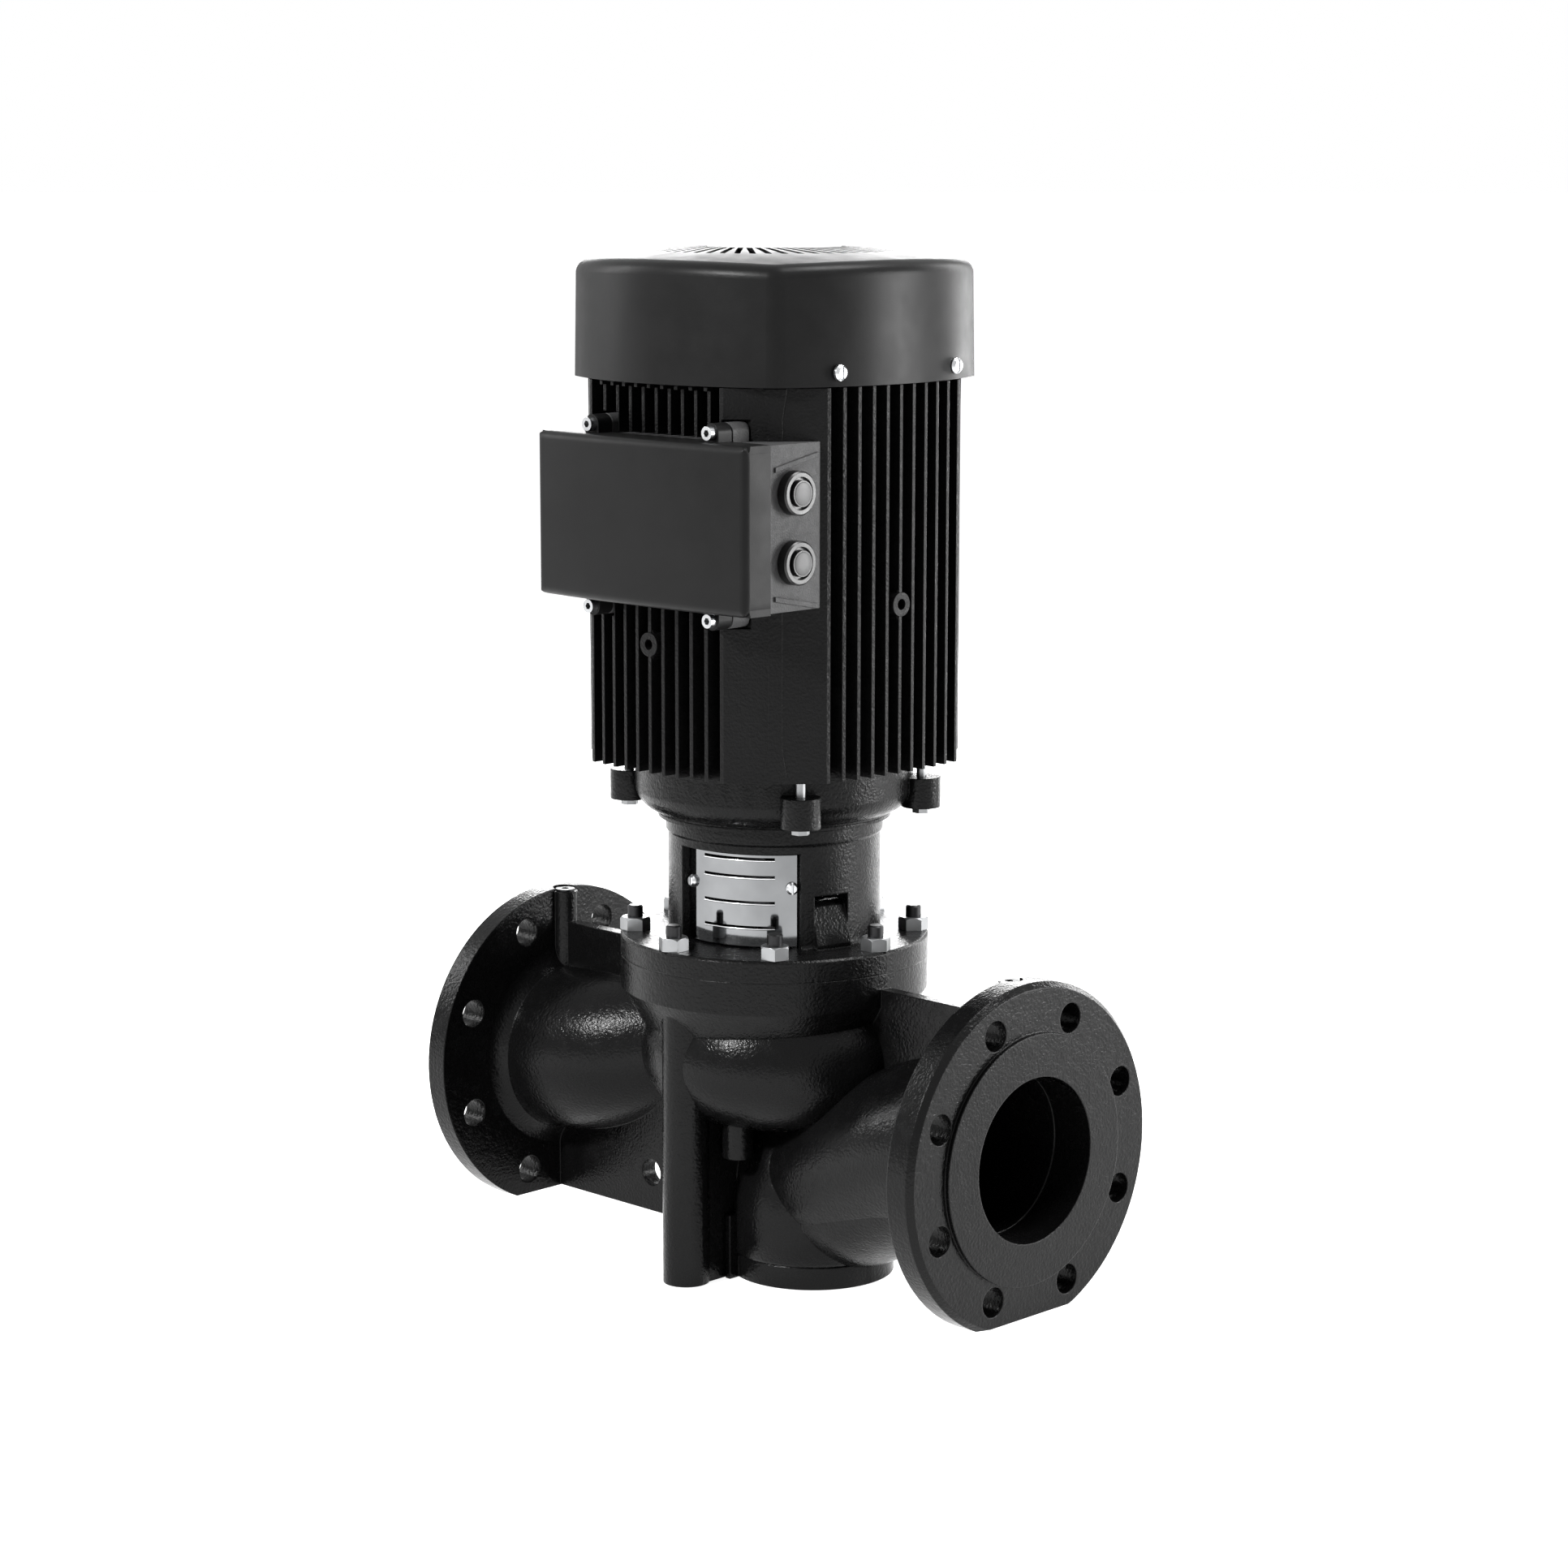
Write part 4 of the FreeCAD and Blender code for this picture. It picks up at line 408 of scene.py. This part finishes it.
def branch_belly():
    """The low side of the suction branch, which dips from its flange to the pot."""
    stations = [(BRANCH_START - BRANCH_RUN * way, PORT_HEIGHT - BRANCH_FALL * fall,
                 BRANCH_REACH[0] + (BRANCH_REACH[1] - BRANCH_REACH[0]) * taper)
                for way, fall, taper in BRANCH_COURSE]
    rows = []
    for step in range(51):
        spot = step / 50 * (len(stations) - 1)
        index = min(int(spot), len(stations) - 2)
        share = spot - index
        around = [stations[max(0, min(len(stations) - 1, index + shift))] for shift in (-1, 0, 1, 2)]
        x, z, radius = [catmull(share, [station[axis] for station in around]) for axis in range(3)]
        row = []
        for rib in range(41):
            tilt = math.radians(-180 + 180 * rib / 40)
            row.append((x, radius * math.cos(tilt), z + radius * math.sin(tilt)))
        rows.append(row)
    sheet_piece("branch_belly", rows, HOUSING_PAINT)


def folded(low, high, radius, inner):
    """Places across a pressed sheet with the drop at each: down the side, round the edge, over the face."""
    side = [(0.0, None), (0.0, radius)]
    for step in range(1, 9):
        angle = math.radians(90 * step / 8)
        side.append((radius * (1 - math.cos(angle)), radius * (1 - math.sin(angle))))
    left = [(low + place, drop) for place, drop in side]
    right = [(high - place, drop) for place, drop in reversed(side)]
    width = high - low - 2 * radius
    face = [(low + radius + width * step / inner, 0.0) for step in range(1, inner)]
    return left + face + right


def lid_face():
    """The lid's pillow-shaped face, crowned from side to side, with rounded edges and corners."""
    low, high = LID_LOW, LID_HIGH
    middle = (low[0] + high[0]) / 2
    half = (high[0] - low[0]) / 2
    corners = [(x, z) for x in (low[0] + LID_CORNER, high[0] - LID_CORNER)
               for z in (low[1] + LID_CORNER, high[1] - LID_CORNER)]
    rows = []
    for z, drop_z in folded(low[1], high[1], LID_ROUND, 24):
        row = []
        for x, drop_x in folded(low[0], high[0], LID_ROUND, 40):
            crown = LID_CROWN * max(0.0, 1 - ((x - middle) / (half - LID_ROUND)) ** 2)
            y = -(LID_FRONT + crown)
            y = LID_BACK if drop_x is None or drop_z is None else y + max(drop_x, drop_z)
            across, up = x, z
            for corner in corners:
                aside = (x - corner[0]) * (1 if corner[0] > middle else -1)
                over = (z - corner[1]) * (1 if corner[1] > (low[1] + high[1]) / 2 else -1)
                far = math.hypot(aside, over)
                if aside > 0 and over > 0 and far > LID_CORNER:
                    across = corner[0] + (x - corner[0]) * LID_CORNER / far
                    up = corner[1] + (z - corner[1]) * LID_CORNER / far
            row.append((across, y, up))
        rows.append(row)
    sheet_piece("lid_face", rows, LID_PAINT)


def plug_discs():
    """The slightly domed middle of each cable plug."""
    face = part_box("cable_plugs")[1][0]
    for index, height in enumerate(PLUG_HEIGHTS):
        rows = []
        for radius, proud in DISC_PROFILE:
            row = []
            for step in range(48):
                angle = 2 * math.pi * step / 48
                row.append((face + proud, PLUG_DEPTH + radius * math.cos(angle),
                            height + radius * math.sin(angle)))
            rows.append(row)
        sheet_piece(f"plug_disc_{index}", rows, PLUG_GREY, closed=True)


def guard_lips():
    """The pressed lower lip of each slit in the two coupling guards, in a bright steel tone that paints the
    highlight the lit lip edge catches.
    """
    for guard, turn in GUARD_TURNS:
        for index, drop in enumerate(SLIT_DROPS):
            height = SLIT_TOP - drop - SLIT_WIDE
            rows = []
            for out, up in LIP_PROFILE:
                row = []
                for step in range(25):
                    angle = math.radians(turn + SLIT_HALF * (step / 12 - 1))
                    row.append(polar(GUARD_REACH + out, angle, height + up))
                rows.append(row)
            sheet_piece(f"guard_lip_{guard}_{index}", rows, LIP_STEEL_PAINTED_HIGHLIGHT)


# Studio

def seen_through_gloss(tree):
    """One for camera, glossy and transmission rays, so that metal and glass show the background too."""
    path = tree.nodes.new("ShaderNodeLightPath")
    total = path.outputs["Is Camera Ray"]
    for ray in ("Is Glossy Ray", "Is Transmission Ray"):
        both = tree.nodes.new("ShaderNodeMath")
        both.operation = "ADD"
        both.use_clamp = True
        tree.links.new(total, both.inputs[0])
        tree.links.new(path.outputs[ray], both.inputs[1])
        total = both.outputs["Value"]
    return total


def lamp(name, turn, rise, distance, size, watts):
    """A soft box at a bearing from the front, a rise above the floor and a distance from the pump."""
    data = bpy.data.lights.new(name, "AREA")
    data.shape = "RECTANGLE"
    data.size, data.size_y = size
    data.energy = watts
    item = bpy.data.objects.new(name, data)
    bpy.context.scene.collection.objects.link(item)
    turn = math.radians(turn)
    rise = math.radians(rise)
    way = Vector((math.sin(turn) * math.cos(rise), -math.cos(turn) * math.cos(rise), math.sin(rise)))
    item.location = LIT_POINT + way * distance
    item.rotation_mode = "QUATERNION"
    item.rotation_quaternion = (-way).to_track_quat("-Z", "Y")
    item.visible_camera = False


def build_floor():
    mesh = bpy.data.meshes.new("floor")
    corners = [(x * FLOOR_SIDE, y * FLOOR_SIDE, 0) for x, y in ((-1, -1), (1, -1), (1, 1), (-1, 1))]
    mesh.from_pydata(corners, [], [(0, 1, 2, 3)])
    floor = bpy.data.objects.new("floor", mesh)
    floor.location.z = -FLOOR_GAP
    bpy.context.scene.collection.objects.link(floor)
    material = bpy.data.materials.new("floor_white")
    material.use_nodes = True
    tree = material.node_tree
    paint = tree.nodes["Principled BSDF"]
    paint.inputs["Base Color"].default_value = (*WHITE, 1.0)
    paint.inputs["Roughness"].default_value = 0.9
    paint.inputs["Specular IOR Level"].default_value = 0.1
    glow = tree.nodes.new("ShaderNodeEmission")
    glow.inputs["Strength"].default_value = FLOOR_GLOW
    both = tree.nodes.new("ShaderNodeAddShader")
    choose = tree.nodes.new("ShaderNodeMixShader")
    tree.links.new(seen_through_gloss(tree), choose.inputs["Fac"])
    tree.links.new(paint.outputs["BSDF"], both.inputs[0])
    tree.links.new(glow.outputs["Emission"], both.inputs[1])
    tree.links.new(paint.outputs["BSDF"], choose.inputs[1])
    tree.links.new(both.outputs["Shader"], choose.inputs[2])
    tree.links.new(choose.outputs["Shader"], tree.nodes["Material Output"].inputs["Surface"])
    mesh.materials.append(material)


def build_world():
    world = bpy.data.worlds.new("studio")
    bpy.context.scene.world = world
    world.use_nodes = True
    tree = world.node_tree
    background = tree.nodes["Background"]
    background.inputs["Color"].default_value = (1, 1, 1, 1)
    level = tree.nodes.new("ShaderNodeMapRange")
    level.inputs["To Min"].default_value = ROOM_LIGHT
    level.inputs["To Max"].default_value = 1.0
    tree.links.new(seen_through_gloss(tree), level.inputs["Value"])
    tree.links.new(level.outputs["Result"], background.inputs["Strength"])


def build_lamps():
    lamp("key", -6, 34, 2.4, (0.26, 0.26), 64)
    lamp("left_box", -66, 22, 2.5, (0.3, 1.3), 18)
    lamp("right_box", 131, 6, 2.7, (0.8, 1.3), 70)
    lamp("right_rim", 180, 12, 2.5, (0.25, 1.8), 30)
    lamp("back_box", 224, 13, 3.0, (1.8, 0.7), 44)
    lamp("overhead", 130, 64, 2.4, (0.8, 0.8), 40)


aim_camera()
dress_nodes()
volute_belly()
elbow_pot()
branch_belly()
lid_face()
plug_discs()
guard_lips()
build_floor()
build_world()
build_lamps()
bpy.context.scene.view_settings.view_transform = "Standard"
